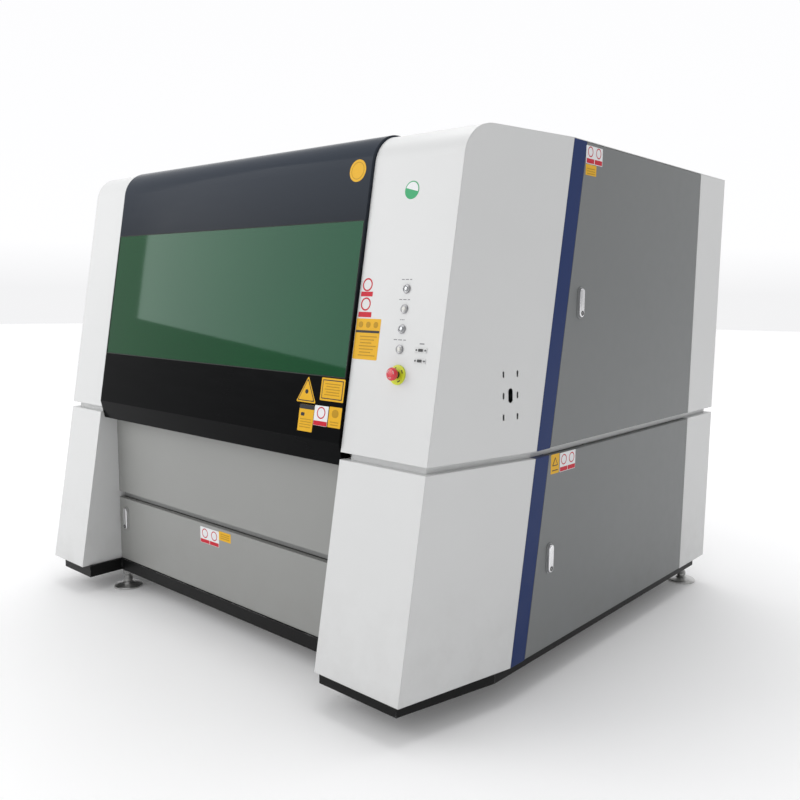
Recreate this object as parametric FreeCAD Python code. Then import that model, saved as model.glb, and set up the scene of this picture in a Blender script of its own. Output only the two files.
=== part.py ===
import FreeCAD, Part
import math
import os

# Enclosed fibre laser cutting machine, in millimetres. +Z is up, the front is -Y and the floor is z = 0.
# The origin is on the floor, midway across the width and midway between the front toe and the spigot's end.

V = FreeCAD.Vector

# ---- outer form ----
body_width = 2246.0           # over the side door faces
front_width = 2064.0          # over the columns' outer front edges
body_depth = 2027.0           # from the columns' toe to the rear face
roof_z = 1812.0
floor_clearance = 73.0
plinth_height = 51.0
lean = 0.169                  # run of the front face for each unit of rise
top_radius = 115.0
taper_run = 441.0             # depth over which the sides widen behind the front edge
right_column_width = 353.0
left_column_width = 246.0
sheet = 2.0
seam = 2.0                    # half of the gap around a door
fold = 22.0                   # depth of a door's return flange

# ---- waist groove ----
waist_low = 791.0
waist_high = 814.0
waist_depth = 25.0            # also the depth of the cover flanges that meet the groove's band
waist_wall = 15.0
waist_lap = 2.0               # band height hidden behind each cover's flange

# ---- sides and rear ----
band_width = 82.0
rear_corner_depth = 266.0
rear_opening_width = 1000.0
post = 40.0                   # square tube of the enclosure frame
frame_inset = 40.0            # from the outer face to the enclosure frame

# ---- front recess ----
recess_depth = 186.0
recess_groove_low = 403.0
recess_groove_high = 431.0
recess_panel_top = 880.0
front_sill_reach = 54.0
front_rail_gap = 1.5          # from the front door's top to the rail behind the groove
front_hinge_room = 2.0        # extra gap beside the right column, for the door's swinging edge

# ---- plinth and feet ----
plinth_front_inset = 30.0
plinth_corner_inset = 33.0
plinth_side_inset = 35.0
plinth_rear_inset = 28.0
plinth_inner_reach = 9.0
plinth_recess_step = 5.0      # from the recess panel forwards to the plinth
plinth_bar = 60.0
plinth_floor = 3.0
plinth_split_depth = 480.0
foot_disc_radius = 62.0
foot_stud_radius = 12.0
foot_ball_radius = 20.0
foot_nut_flats = 36.0
foot_front_x = 752.0
foot_front_gap = 8.0          # from the recess panel to the front feet's axes
foot_rear_x = 1050.0
foot_rear_depth = 1968.0
foot_stud_bury = 30.0
foot_stud_clearance = 0.15

# ---- bed ----
bed_beam = 80.0
bed_beam_low = 750.0
bed_beam_high = 830.0
bed_left_x = -735.0
bed_right_x = 629.0
bed_front_gap = 54.0          # from the recess panel to the bed
bed_rear_depth = 1440.0
bed_leg_gap = 114.0           # from the recess panel to the axes of the bed's front legs
bed_cross_low = 700.0
bed_cross_high = 760.0
rail_half_width = 10.0
rail_height = 18.0
rail_margin = 12.0

# ---- cutting table ----
slat_top = 850.0
slat_height = 70.0
slat_thickness = 4.0
slat_pitch = 60.0
slat_frame_bar = 40.0
table_gap = 5.0
tray_floor_z = 150.0
tray_height = 200.0
tray_wall = 3.0
tray_front_gap = 32.0         # from the recess panel to the slag tray
tray_rear_depth = 1330.0
runner_width = 40.0

# ---- gantry ----
gantry_depth = 1300.0         # beam centre behind the toe, parked at the rear
beam_half_depth = 60.0
beam_low = 960.0
beam_high = 1100.0
block_half_width = 32.0
block_half_length = 80.0
block_low = 834.0
block_high = 868.0
running_gap = 0.3
carriage_rest_x = -690.0
carriage_half_width = 70.0
carriage_plate = 14.0
head_radius = 35.0
nozzle_tip_z = 880.0
nozzle_radius = 4.0
head_offset = 62.0

# ---- hood ----
hood_gap = 3.0
hood_front_proud = 10.0
hood_top_proud = 6.0
hood_radius = 122.0
hood_fold_z = 841.0
hood_lip_z = 767.0
hood_lip_setback = 17.0
hood_cheek = 40.0
window_low = 1043.0
window_high = 1538.0
window_margin = 6.0
window_thickness = 5.0
window_ledge = 16.0
hinge_radius = 6.0
hinge_pin_radius = 3.0
hinge_pin_clearance = 0.15
hinge_leaf = 2.0
hinge_leaf_depth = 40.0
hinge_length = 120.0
hinge_count = 4

# ---- gas struts, from the hood hinge ----
strut_hood_back = 165.0
strut_hood_drop = 22.0
strut_frame_back = 120.0
strut_frame_drop = 400.0
strut_stroke = 151.5
strut_tube_radius = 11.0
strut_bore_radius = 9.5
strut_piston_radius = 9.4
strut_rod_radius = 5.0
strut_rod_clearance = 0.05
strut_eye_radius = 10.0
strut_eye_width = 12.0
strut_inset = 26.0
strut_pin_radius = 5.0
strut_pin_clearance = 0.05
strut_open_gap = 0.5
strut_boss_radius = 12.0
strut_neck = 16.0             # from the lower eye's centre to the tube

# ---- doors ----
door_pin_inset = 12.0         # hinge pin behind the door's face
door_pin_edge = 20.0          # hinge pin from the door's hinged edge
door_pin_radius = 4.0
door_pin_clearance = 0.05
door_pin_length = 26.0
door_arm_half = 6.0
door_arm_height = 12.0
door_knuckle_half = 8.0
door_knuckle_height = 30.0
door_hinge_inset = 90.0
arm_clearance = 4.0
latch_edge = 78.0
latch_front_edge = 52.0
latch_length = 96.0
latch_width = 27.0
latch_thickness = 9.0
latch_plate = 2.5
latch_plate_margin = 5.0
latch_hub_gap = 0.5
latch_spindle_radius = 8.0
latch_spindle_clearance = 0.05
latch_cam_length = 34.0
latch_cam_thickness = 4.0
upper_latch_z = 1286.0
lower_latch_z = 438.0
front_latch_z = 314.0
rear_latch_z = 470.0

# ---- controls on the right column ----
button_x = 874.0
button_low_z = 1146.0
button_pitch = 60.0
button_count = 4
button_bezel_radius = 13.0
button_barrel_radius = 10.9
button_hole_radius = 11.0
button_cap_radius = 8.5
button_cap_clearance = 0.08
button_bezel_height = 3.5
button_cap_proud = 5.0
button_barrel_length = 22.0
estop_x = 879.0
estop_z = 1070.0
estop_collar_radius = 30.0
estop_collar_height = 4.0
estop_stem_radius = 11.0
estop_stem_clearance = 0.08
estop_stem_proud = 20.0
estop_stem_bury = 25.0
estop_spigot_radius = 6.0
estop_spigot_length = 8.0
estop_cap_radius = 20.0
estop_cap_height = 16.0
port_x = 958.0
port_low_z = 1116.0
port_pitch = 31.0
port_width = 44.0
port_height = 15.0
port_screw_radius = 3.5
port_screw_x = 17.0

# ---- arm bracket slots on the right upper cover ----
slot_depth_centre = 445.0
slot_half_spacing = 29.3
slot_pitch = 66.5
slot_mid_z = 1002.0
slot_width = 7.0
slot_height = 20.0
oval_width = 19.0
oval_height = 45.0

# ---- rear services ----
spigot_radius = 100.0
spigot_reach = 70.0
spigot_z = 1300.0
spigot_wall = 2.0
spigot_flange = 25.0
gland_x = -800.0
gland_z = 300.0
gland_bore_radius = 9.0
gland_radius = 18.0
gland_nut_radius = 24.0
gland_reach = 30.0
gland_inner_length = 12.0
vent_count = 10
vent_width = 320.0
vent_height = 9.0
vent_pitch = 26.0

# ---- chamber and contents ----
liner_wall = 2.0
liner_low = 780.0
liner_high = 1768.0
laser_length = 560.0
laser_width = 190.0
laser_height = 600.0
laser_wall = 3.0
laser_depth = 950.0
cabinet_plate = 3.0
cabinet_depth = 820.0
cabinet_length = 560.0
cabinet_low = 900.0
cabinet_height = 780.0
cabinet_standoff = 22.0

# ---- worked out ----
side_x = body_width / 2
front_x = front_width / 2
front_y = -(body_depth + spigot_reach) / 2
rear_y = front_y + body_depth
skirt_z = floor_clearance + plinth_height
right_inner_x = front_x - right_column_width
left_inner_x = -front_x + left_column_width
lean_factor = math.sqrt(1 + lean * lean)
face_normal = V(0, -1 / lean_factor, lean / lean_factor)
far = 6000.0
band_front = taper_run
band_rear = taper_run + band_width
door_hinge_y = rear_y - rear_corner_depth
rear_opening = rear_opening_width / 2
roof_under = roof_z - sheet
rail_under = roof_under - post
roof_front_y = front_y + taper_run + lean * (roof_z - skirt_z) + seam
hinge_y = roof_front_y - seam
hood_top = roof_z + hood_top_proud
hinge_z = hood_top + hinge_radius
hood_left = left_inner_x + hood_gap
hood_right = right_inner_x - hood_gap


def behind(depth):
    """The y of a plane that lies this far behind the columns' toe."""
    return front_y + depth


def lean_y(z, depth=0.0):
    """The y of the leaning front face at height z, or of a plane parallel to it and further back."""
    return front_y + lean * (z - skirt_z) + depth


def box(x0, x1, y0, y1, z0, z1):
    return Part.makeBox(x1 - x0, y1 - y0, z1 - z0, V(x0, y0, z0))


def prism(points, sweep):
    """A closed polygon of vectors swept along a vector."""
    return Part.Face(Part.makePolygon(points + [points[0]])).extrude(sweep)


def prism_x(points, x0, x1):
    """A polygon of (y, z) points carried from x0 to x1."""
    return prism([V(x0, y, z) for y, z in points], V(x1 - x0, 0, 0))


def prism_z(points, z0, z1):
    """A polygon of (x, y) points carried from z0 to z1."""
    return prism([V(x, y, z0) for x, y in points], V(0, 0, z1 - z0))


def rod(radius, start, direction, length):
    return Part.makeCylinder(radius, length, start, direction)


def leaning_slab(x0, x1, depth0, depth1, z0, z1):
    """A block between two planes parallel to the leaning front face."""
    corners = [(lean_y(z0, depth0), z0), (lean_y(z0, depth1), z0)]
    corners += [(lean_y(z1, depth1), z1), (lean_y(z1, depth0), z1)]
    return prism_x(corners, x0, x1)


def join(shapes):
    first = shapes[0]
    return first.fuse(shapes[1:]).removeSplitter() if len(shapes) > 1 else first


def cut_all(shape, tools):
    return shape.cut(Part.makeCompound(tools)) if tools else shape


def mirrored(shape):
    return shape.mirror(V(0, 0, 0), V(1, 0, 0))


def rounded_profile(front_shift, top, radius, rear, low):
    """The side profile as a face at x = 0: leaning front, rounded top edge, flat top and vertical rear."""
    corner = V(0, lean_y(top, front_shift), top)
    along_front = V(0, lean, 1) * (1 / lean_factor)
    turn = math.pi / 2 - math.atan(lean)
    reach = radius * math.tan(turn / 2)
    start = corner - along_front * reach
    end = corner + V(0, reach, 0)
    centre = end - V(0, 0, radius)
    middle_direction = (start - centre) + (end - centre)
    middle = centre + middle_direction.normalize() * radius
    foot = V(0, lean_y(low, front_shift), low)
    edges = [
        Part.makeLine(foot, start),
        Part.Arc(start, middle, end).toShape(),
        Part.makeLine(end, V(0, rear, top)),
        Part.makeLine(V(0, rear, top), V(0, rear, low)),
        Part.makeLine(V(0, rear, low), foot),
    ]
    return Part.Face(Part.Wire(edges))


def taper_cutter(inset):
    """The wedge outside the right side's tapered plane, moved inwards by inset."""
    run = V(side_x - front_x, taper_run, 0)
    outward = V(taper_run, -run.x, 0).normalize()
    start = V(front_x, lean_y(0), 0) - outward * inset
    near = start - run * 1.0
    beyond = start + run * 2.0
    points = [near, beyond, V(side_x + 400, beyond.y, 0), V(side_x + 400, near.y, 0)]
    return prism(points, V(0, lean * far, far))


envelopes = {}


def envelope(inset):
    """The whole enclosure's outer form, moved inwards by inset on every face but the bottom."""
    if inset not in envelopes:
        shift = inset * lean_factor
        profile = rounded_profile(shift, roof_z - inset, top_radius - inset, rear_y - inset, skirt_z)
        half = side_x - inset
        profile.translate(V(-half, 0, 0))
        whole = profile.extrude(V(2 * half, 0, 0))
        wedge = taper_cutter(inset)
        envelopes[inset] = cut_all(whole, [wedge, mirrored(wedge)])
    return envelopes[inset]


def wall_core(inset):
    """Everything further in than inset from the flat sides and the rear, at any height."""
    half = side_x - inset
    return box(-half, half, front_y, rear_y - inset, floor_clearance, roof_z + 1)


def between(inset, x0, x1, depth0, depth1, z0, z1):
    """The part of an envelope between two x planes, two leaning planes and two heights."""
    return envelope(inset).common(leaning_slab(x0, x1, depth0, depth1, z0, z1))


# ---- structure ----

def plinth_outline(grow):
    """Plan of the plinth, as (x, y) points; a negative grow moves every side inwards."""
    corner_x = front_x - plinth_corner_inset + grow
    side = side_x - plinth_side_inset + grow
    inner_right = right_inner_x - plinth_inner_reach - grow
    inner_left = left_inner_x + plinth_inner_reach + grow
    front = behind(plinth_front_inset) - grow
    recess = behind(recess_depth - plinth_recess_step) - grow
    kink = behind(taper_run - plinth_side_inset)
    rear = rear_y - plinth_rear_inset + grow
    return [
        (-corner_x, front), (inner_left, front), (inner_left, recess), (inner_right, recess),
        (inner_right, front), (corner_x, front), (side, kink), (side, rear), (-side, rear), (-side, kink),
    ]


def make_plinth():
    """Black base of square bars mitred at the corners, with two bay floors and two tray runners."""
    outer = plinth_outline(0)
    inner = plinth_outline(-plinth_bar)
    parts = []
    for i in range(len(outer)):
        bar = [outer[i - 1], outer[i], inner[i], inner[i - 1]]
        parts.append(prism_z(bar, floor_clearance, skirt_z))
    recess_bar_y = behind(recess_depth - plinth_recess_step)
    front = recess_bar_y + plinth_bar
    rear = rear_y - plinth_rear_inset - plinth_bar
    for x in (bed_left_x, bed_right_x):
        parts.append(box(x - bed_beam / 2, x + bed_beam / 2, front, rear, floor_clearance, skirt_z))
    for side, edge in ((-1, bed_left_x - bed_beam / 2), (1, bed_right_x + bed_beam / 2)):
        x0, x1 = sorted((side * (side_x - plinth_side_inset - plinth_bar), edge))
        parts.append(box(x0, x1, behind(plinth_split_depth), rear, skirt_z - plinth_floor, skirt_z))
    for x in (tray_left() + runner_width / 2, tray_right() - runner_width / 2):
        parts.append(box(x - runner_width / 2, x + runner_width / 2, recess_bar_y + 40,
                         behind(bed_rear_depth), skirt_z, tray_floor_z))
    holes = [rod(foot_stud_radius + foot_stud_clearance, V(x, y, floor_clearance - 1), V(0, 0, 1),
                 foot_stud_bury + 6) for x, y in foot_places()]
    return Part.makeCompound([cut_all(part, holes) for part in parts])


def tray_left():
    return bed_left_x + bed_beam / 2 + table_gap


def tray_right():
    return bed_right_x - bed_beam / 2 - table_gap


def foot_places():
    """Plan positions of the four feet: front left, front right, rear left, rear right."""
    inner = foot_front_x - abs(left_inner_x)
    right = right_inner_x + inner
    return [
        (-foot_front_x, behind(recess_depth + foot_front_gap)),
        (right, behind(recess_depth + foot_front_gap)),
        (-foot_rear_x, behind(foot_rear_depth)), (foot_rear_x, behind(foot_rear_depth)),
    ]


def make_foot(x, y):
    """Levelling foot: dished disc, ball, threaded stud and lock nut, on one axis."""
    profile = [
        V(0, 0, 0), V(foot_disc_radius, 0, 0), V(foot_disc_radius, 0, 6), V(foot_disc_radius - 4, 0, 9),
        V(foot_ball_radius + 8, 0, 16), V(foot_ball_radius, 0, 22), V(0, 0, 22),
    ]
    disc = Part.Face(Part.makePolygon(profile + [profile[0]])).revolve(V(0, 0, 0), V(0, 0, 1), 360)
    ball = Part.makeSphere(foot_ball_radius, V(0, 0, 24 + foot_ball_radius / 2))
    stud_top = floor_clearance + foot_stud_bury
    stud = rod(foot_stud_radius, V(0, 0, 24), V(0, 0, 1), stud_top - 24)
    corner = foot_nut_flats / math.sqrt(3)
    hexagon = [V(corner * math.cos(math.radians(60 * i)), corner * math.sin(math.radians(60 * i)), 0)
               for i in range(6)]
    nut = prism(hexagon, V(0, 0, 14))
    nut.translate(V(0, 0, floor_clearance - 14 - running_gap))
    foot = join([disc, ball, stud, nut])
    foot.translate(V(x, y, 0))
    return foot


def make_bed_frame():
    """Welded bed of square tube: four legs, two rail beams, cross bars and the front rail."""
    parts = []
    half = bed_beam / 2
    rear_leg = behind(bed_rear_depth) - half
    for x in (bed_left_x, bed_right_x):
        parts.append(box(x - half, x + half, behind(recess_depth + bed_front_gap), behind(bed_rear_depth),
                         bed_beam_low, bed_beam_high))
        for y in (behind(recess_depth + bed_leg_gap), rear_leg):
            parts.append(box(x - half, x + half, y - half, y + half, skirt_z, bed_beam_low + 1))
    for y in (behind(recess_depth + bed_front_gap) + half, rear_leg):
        parts.append(box(bed_left_x, bed_right_x, y - half, y + half, bed_cross_low, bed_cross_high))
    rail_front = behind(recess_depth + waist_depth)
    rail_rear = behind(recess_depth + bed_leg_gap) - half + 1
    rail_low = recess_groove_low + front_rail_gap
    parts.append(box(left_inner_x + 6, right_inner_x - 6, rail_front, rail_rear, rail_low,
                     recess_groove_high + 16))
    jamb_x = right_inner_x - front_hinge_room - door_pin_edge
    jamb_y = behind(recess_depth + frame_inset)
    parts.append(box(jamb_x - post / 2 + 2, jamb_x + post / 2 - 2, jamb_y, jamb_y + post, skirt_z,
                     rail_low + 1))
    return join(parts)


def side_post(depth0, depth1):
    """A leaning or vertical post on the right side, between two planes parallel to the front."""
    return leaning_slab(side_x - frame_inset - post, side_x - frame_inset, depth0, depth1, skirt_z,
                        roof_under)


def make_enclosure_frame():
    """Square tube frame that carries the covers, the doors' hinges, the hood's hinges and the roof."""
    inner = side_x - frame_inset - post
    outer = side_x - frame_inset
    hinge_post_y = door_hinge_y - seam - door_pin_edge
    rear_post_y = rear_y - frame_inset
    front_post = side_post(band_front + 26, band_front + 26 + post)
    hinge_post = box(inner, outer, hinge_post_y - post / 2, hinge_post_y + post / 2, skirt_z, roof_under)
    rear_post = box(inner, outer, rear_post_y - post, rear_post_y, skirt_z, roof_under)
    side_rail = box(inner, outer, hinge_y + post, rear_post_y, rail_under, roof_under)
    right = [front_post, hinge_post, rear_post, side_rail]
    parts = right + [mirrored(shape) for shape in right]
    parts.append(box(-outer, outer, hinge_y + 12, hinge_y + 12 + post, rail_under, roof_under))
    parts.append(box(-outer, outer, rear_post_y - post, rear_post_y, rail_under, roof_under))
    parts.append(box(-outer, outer, rear_post_y - post, rear_post_y, waist_low - 8, waist_high + 8))
    for x in (-rear_opening + door_pin_edge, rear_opening - door_pin_edge):
        parts.append(box(x - post / 2, x + post / 2, rear_post_y - post, rear_post_y, skirt_z,
                         rail_under + 1))
    return join(parts)


def make_waist_band():
    """Channel that shows as the floor of the groove, round the columns, sides and rear."""
    ring = between(waist_depth, -far / 2, far / 2, -far / 4, far, waist_low - waist_lap,
                   waist_high + waist_lap)
    core = envelope(waist_depth + waist_wall)
    gap = box(left_inner_x - waist_depth, right_inner_x + waist_depth, front_y - 200,
              behind(recess_depth + 500), skirt_z, roof_z)
    return cut_all(ring, [core, gap])


# ---- columns, bands, corners and roof ----

def column_cover(inner_x, outer_x, z0, z1, low_flange, high_flange):
    """A folded cover: front face, outer side, inner return and, at an open end, an inturned flange."""
    direction = 1 if outer_x > inner_x else -1
    x0, x1 = sorted((inner_x, outer_x))
    whole = between(0, x0, x1, -400, taper_run, z0, z1)
    step = direction * sheet
    ix0, ix1 = sorted((inner_x + step, outer_x))
    inner_low = z0 + (sheet if low_flange else 0)
    inner_high = z1 - (sheet if high_flange else 0)
    tools = [between(sheet, ix0, ix1, -400, taper_run + 5, inner_low, inner_high)]
    middle = (z0 + z1) / 2
    for flange, low, high in ((low_flange, z0 - 1, middle), (high_flange, middle, z1 + 1)):
        if flange:
            fx0, fx1 = sorted((inner_x + direction * flange, outer_x))
            tools.append(envelope(flange).common(leaning_slab(fx0, fx1, -400, taper_run + 5, low, high)))
            if low < skirt_z:
                opening = envelope(flange).common(leaning_slab(fx0, fx1, -400, taper_run + 5, z0, z0 + 5))
                opening.translate(V(0, 0, -3))
                tools.append(opening)
    return cut_all(whole, tools)


def face_point(x, z, depth=0.0):
    """The point of the leaning front face at x and z, moved along its normal by depth."""
    return V(x, lean_y(z), z) + face_normal * depth


def slot_prism(y, z, width, height):
    """A vertical stadium through the tapered side, as one solid along X."""
    half = height / 2 - width / 2
    core = box(front_x - 60, side_x + 60, y - width / 2, y + width / 2, z - half, z + half)
    ends = [rod(width / 2, V(front_x - 60, y, z + dz), V(1, 0, 0), side_x - front_x + 120)
            for dz in (-half, half)]
    return join([core] + ends)


def control_holes():
    """Holes through the right column's face for the buttons, the stop and the ports."""
    reach = 20.0
    tools = []
    for i in range(button_count):
        start = face_point(button_x, button_low_z + i * button_pitch, -reach)
        tools.append(rod(button_hole_radius, start, face_normal, 2 * reach))
    tools.append(rod(estop_stem_radius + 4, face_point(estop_x, estop_z, -reach), face_normal, 2 * reach))
    for i in range(2):
        tools.append(port_block(i, 11.0, 5.0, -reach, reach))
    return tools


def port_block(index, half_width, half_height, depth0, depth1):
    """A block square to the leaning face at one service port."""
    centre = face_point(port_x, port_low_z + index * port_pitch)
    up = V(0, lean, 1) * (1 / lean_factor)
    across = V(1, 0, 0)
    corners = [(-half_width, -half_height), (half_width, -half_height), (half_width, half_height),
               (-half_width, half_height)]
    points = [centre + face_normal * depth0 + across * a + up * b for a, b in corners]
    return prism(points, face_normal * (depth1 - depth0))


def strut_boss(inner_x, direction):
    """Boss and pin on a column's inner return that carry a gas strut's lower eye."""
    y = hinge_y - strut_frame_back
    z = hinge_z - strut_frame_drop
    pin_end = strut_inset + strut_eye_width / 2 + 2
    boss = rod(strut_boss_radius, V(inner_x, y, z), V(direction, 0, 0),
               strut_inset - strut_eye_width / 2 - running_gap)
    pin = rod(strut_pin_radius, V(inner_x, y, z), V(direction, 0, 0), pin_end)
    return [boss, pin]


def make_upper_cover_right():
    cover = column_cover(right_inner_x, side_x + 10, waist_high, roof_z, waist_depth, 0)
    for dy in (-slot_half_spacing, slot_half_spacing):
        for row in (-1, 0, 1):
            cover = cover.cut(slot_prism(behind(slot_depth_centre) + dy, slot_mid_z + row * slot_pitch,
                                         slot_width, slot_height))
    cover = cover.cut(slot_prism(behind(slot_depth_centre), slot_mid_z, oval_width, oval_height))
    cover = cut_all(cover, control_holes())
    return join([cover] + strut_boss(right_inner_x, -1))


def make_upper_cover_left():
    cover = column_cover(left_inner_x, -side_x - 10, waist_high, roof_z, waist_depth, 0)
    return join([cover] + strut_boss(left_inner_x, 1))


def make_lower_cover_right():
    return column_cover(right_inner_x, side_x + 10, skirt_z, waist_low, plinth_bar + 20, waist_depth)


def make_lower_cover_left():
    return column_cover(left_inner_x, -side_x - 10, skirt_z, waist_low, plinth_bar + 20, waist_depth)


def side_band(z0, z1):
    """One blue strip on the right side: a folded channel between the column cover and the door."""
    whole = between(0, front_x, side_x + 10, band_front + 1, band_rear, z0, z1)
    core = wall_core(waist_depth)
    pocket = between(sheet, front_x, side_x + 10, band_front - 5, band_rear - sheet, z0 + sheet, z1 - sheet)
    return cut_all(whole, [core, pocket])


def make_side_bands():
    right = [side_band(skirt_z, waist_low), side_band(waist_high, roof_under)]
    return Part.makeCompound(right + [mirrored(shape) for shape in right])


def rear_corner(z0, z1):
    """One folded corner on the right: a strip of the side and a strip of the rear, with flanges."""
    side_y = door_hinge_y + seam
    rear_x = rear_opening + seam
    region = box(rear_x, side_x + 10, side_y, rear_y + 10, z0, z1)
    narrow = box(rear_x + sheet, side_x + 10, side_y + sheet, rear_y + 10, z0 + sheet, z1 - sheet)
    whole = envelope(0).common(region)
    foot_flange = frame_inset - 1 if z0 == skirt_z else waist_depth
    above = box(-far, far, front_y, rear_y + 10, z0 + sheet, roof_z + 2)
    cores = [wall_core(waist_depth).common(above), wall_core(foot_flange)]
    return cut_all(whole, cores + [envelope(sheet).common(narrow)])


def make_rear_corner_right():
    return Part.makeCompound([rear_corner(skirt_z, waist_low), rear_corner(waist_high, roof_under)])


def make_rear_corner_left():
    pair = mirrored(make_rear_corner_right())
    hole = rod(gland_radius + 0.2, V(gland_x, rear_y - 60, gland_z), V(0, 1, 0), 100)
    return pair.cut(hole)


def make_roof_panel():
    """Roof sheet behind the hood's hinges, with a downturned front edge between the columns."""
    plate = box(-side_x, side_x, roof_front_y, rear_y, roof_under, roof_z)
    edge = box(left_inner_x, right_inner_x, roof_front_y, roof_front_y + sheet, roof_under - 8, roof_z)
    return join([plate, edge])


def make_front_panel():
    """Fixed panel above the front door: folded edges and a top return that forms the sill."""
    x0 = left_inner_x + 1
    x1 = right_inner_x - 1
    outer = behind(recess_depth)
    whole = box(x0, x1, outer, outer + waist_depth, recess_groove_high, recess_panel_top)
    pocket = box(x0 + sheet, x1 - sheet, outer + sheet, outer + waist_depth + 1, recess_groove_high + sheet,
                 recess_panel_top - sheet)
    sill = box(x0, x1, outer, outer + front_sill_reach, recess_panel_top - sheet, recess_panel_top)
    return join([whole.cut(pocket), sill])


def vent_slots(centre_z):
    tools = []
    for i in range(vent_count):
        z = centre_z + (i - (vent_count - 1) / 2) * vent_pitch
        tools.append(box(-vent_width / 2, vent_width / 2, rear_y - 10, rear_y + 10, z - vent_height / 2,
                         z + vent_height / 2))
    return tools


def make_rear_panel():
    """Upper rear panel with its vents and the hole for the exhaust spigot."""
    x = rear_opening - seam
    whole = box(-x, x, rear_y - fold, rear_y, waist_high + seam, roof_under)
    pocket = box(-x + sheet, x - sheet, rear_y - fold - 1, rear_y - sheet, waist_high + seam + sheet,
                 roof_under - sheet)
    hole = rod(spigot_radius + 1, V(0, rear_y - 40, spigot_z), V(0, 1, 0), 80)
    vents = vent_slots(spigot_z - 310) + vent_slots(spigot_z + 310)
    return cut_all(whole, [pocket, hole] + vents)


# ---- doors ----
# A door is modelled as the right side's: its face looks along +X, its hinged edge is at y = 0 and its body is
# at negative y. Turning it by -90 degrees about Z gives the front door, and by +90 degrees the rear door.

def hinge_heights(low, high):
    return [low + door_hinge_inset, high - door_hinge_inset - door_knuckle_height]


def door_pan(outline, inner_outline, low, high, latch_y, latch_z):
    """A folded pan with two hinge knuckles, a latch plate and the latch's bore; outlines are (y, z)."""
    pan = prism_x(outline, -fold, 0).cut(prism_x(inner_outline, -fold - 1, -sheet))
    knuckles = []
    cuts = []
    for z in hinge_heights(low, high):
        knuckles.append(box(
            -door_pin_inset - door_knuckle_half, -sheet,
            -door_pin_edge - door_knuckle_half, -door_pin_edge + door_knuckle_half,
            z, z + door_knuckle_height))
        arm_z = z - running_gap - door_arm_height
        cuts.append(box(
            -fold - 1, -door_pin_inset + door_arm_half + arm_clearance,
            -seam - sheet - 1, 1, arm_z - arm_clearance, arm_z + door_arm_height + arm_clearance))
        cuts.append(rod(door_pin_radius + door_pin_clearance, V(-door_pin_inset, -door_pin_edge, z - 1),
                        V(0, 0, 1), door_knuckle_height + 2))
    plate = stadium_plate(latch_y, latch_z, latch_width + 2 * latch_plate_margin,
                          latch_length + 2 * latch_plate_margin, -sheet, latch_plate)
    cuts.append(rod(latch_spindle_radius + latch_spindle_clearance,
                    V(-fold, latch_y, latch_axis_z(latch_z)), V(1, 0, 0), fold + 10))
    return cut_all(join([pan, plate] + knuckles), cuts)


def stadium_plate(y, z, width, height, x0, x1):
    """An upright plate with round ends, centred at (y, z), from x0 to x1."""
    half = (height - width) / 2
    core = box(x0, x1, y - width / 2, y + width / 2, z - half, z + half)
    ends = [rod(width / 2, V(x0, y, z + dz), V(1, 0, 0), x1 - x0) for dz in (-half, half)]
    return join([core] + ends)


def latch_axis_z(centre_z):
    """The latch turns about the centre of its lower round end."""
    return centre_z - (latch_length - latch_width) / 2


def make_latch(y, z):
    """One casting: lever, spindle through the door and cam behind it."""
    foot = latch_plate + latch_hub_gap
    lever = stadium_plate(y, z, latch_width, latch_length, foot, foot + latch_thickness)
    axis_z = latch_axis_z(z)
    spindle = rod(latch_spindle_radius, V(-fold + 2, y, axis_z), V(1, 0, 0), fold - 2 + foot)
    cam = box(-fold + 2, -fold + 2 + latch_cam_thickness, y - 8, y + 8, axis_z - latch_cam_length, axis_z + 8)
    return join([lever, spindle, cam])


def hinge_arm(z):
    """A frame arm with the pin that the door's knuckle turns on."""
    arm_z = z - running_gap - door_arm_height
    arm = box(
        -frame_inset, -door_pin_inset + door_arm_half,
        -door_pin_edge - door_arm_half, -door_pin_edge + door_arm_half,
        arm_z, arm_z + door_arm_height)
    pin = rod(door_pin_radius, V(-door_pin_inset, -door_pin_edge, arm_z + 1), V(0, 0, 1),
              door_arm_height - 1 + door_pin_length)
    return join([arm, pin])


def side_outline(z0, z1, shrink):
    """A side door's outline: slanted front edge parallel to the band, upright hinged edge."""
    front = band_rear + seam + shrink * lean_factor
    rear = -seam - shrink
    low = z0 + shrink
    high = z1 - shrink
    return [
        (lean_y(low, front) - door_hinge_y, low), (rear, low),
        (rear, high), (lean_y(high, front) - door_hinge_y, high),
    ]


def flat_outline(width, z0, z1, shrink):
    return [(-width - seam + shrink, z0 + shrink), (-seam - shrink, z0 + shrink),
            (-seam - shrink, z1 - shrink), (-width - seam + shrink, z1 - shrink)]


upper_door_low = waist_high + seam
upper_door_high = roof_under - seam
lower_door_low = skirt_z + seam
lower_door_high = waist_low - seam - 1
front_door_width = right_inner_x - front_hinge_room - left_inner_x - 2 * seam
front_door_high = recess_groove_low
rear_door_width = rear_opening_width - 2 * seam

# name: outline kind, low, high, latch height
side_doors = {
    "upper": (upper_door_low, upper_door_high, upper_latch_z),
    "lower": (lower_door_low, lower_door_high, lower_latch_z),
}


def to_right(shape):
    placed = shape.copy()
    placed.translate(V(side_x, door_hinge_y, 0))
    return placed


def to_left(shape):
    return mirrored(to_right(shape))


def to_front(shape):
    placed = shape.copy()
    placed.rotate(V(0, 0, 0), V(0, 0, 1), -90)
    placed.translate(V(right_inner_x - front_hinge_room, behind(recess_depth), 0))
    return placed


def to_rear(shape):
    placed = shape.copy()
    placed.rotate(V(0, 0, 0), V(0, 0, 1), 90)
    placed.translate(V(-rear_opening, rear_y, 0))
    return placed


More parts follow.
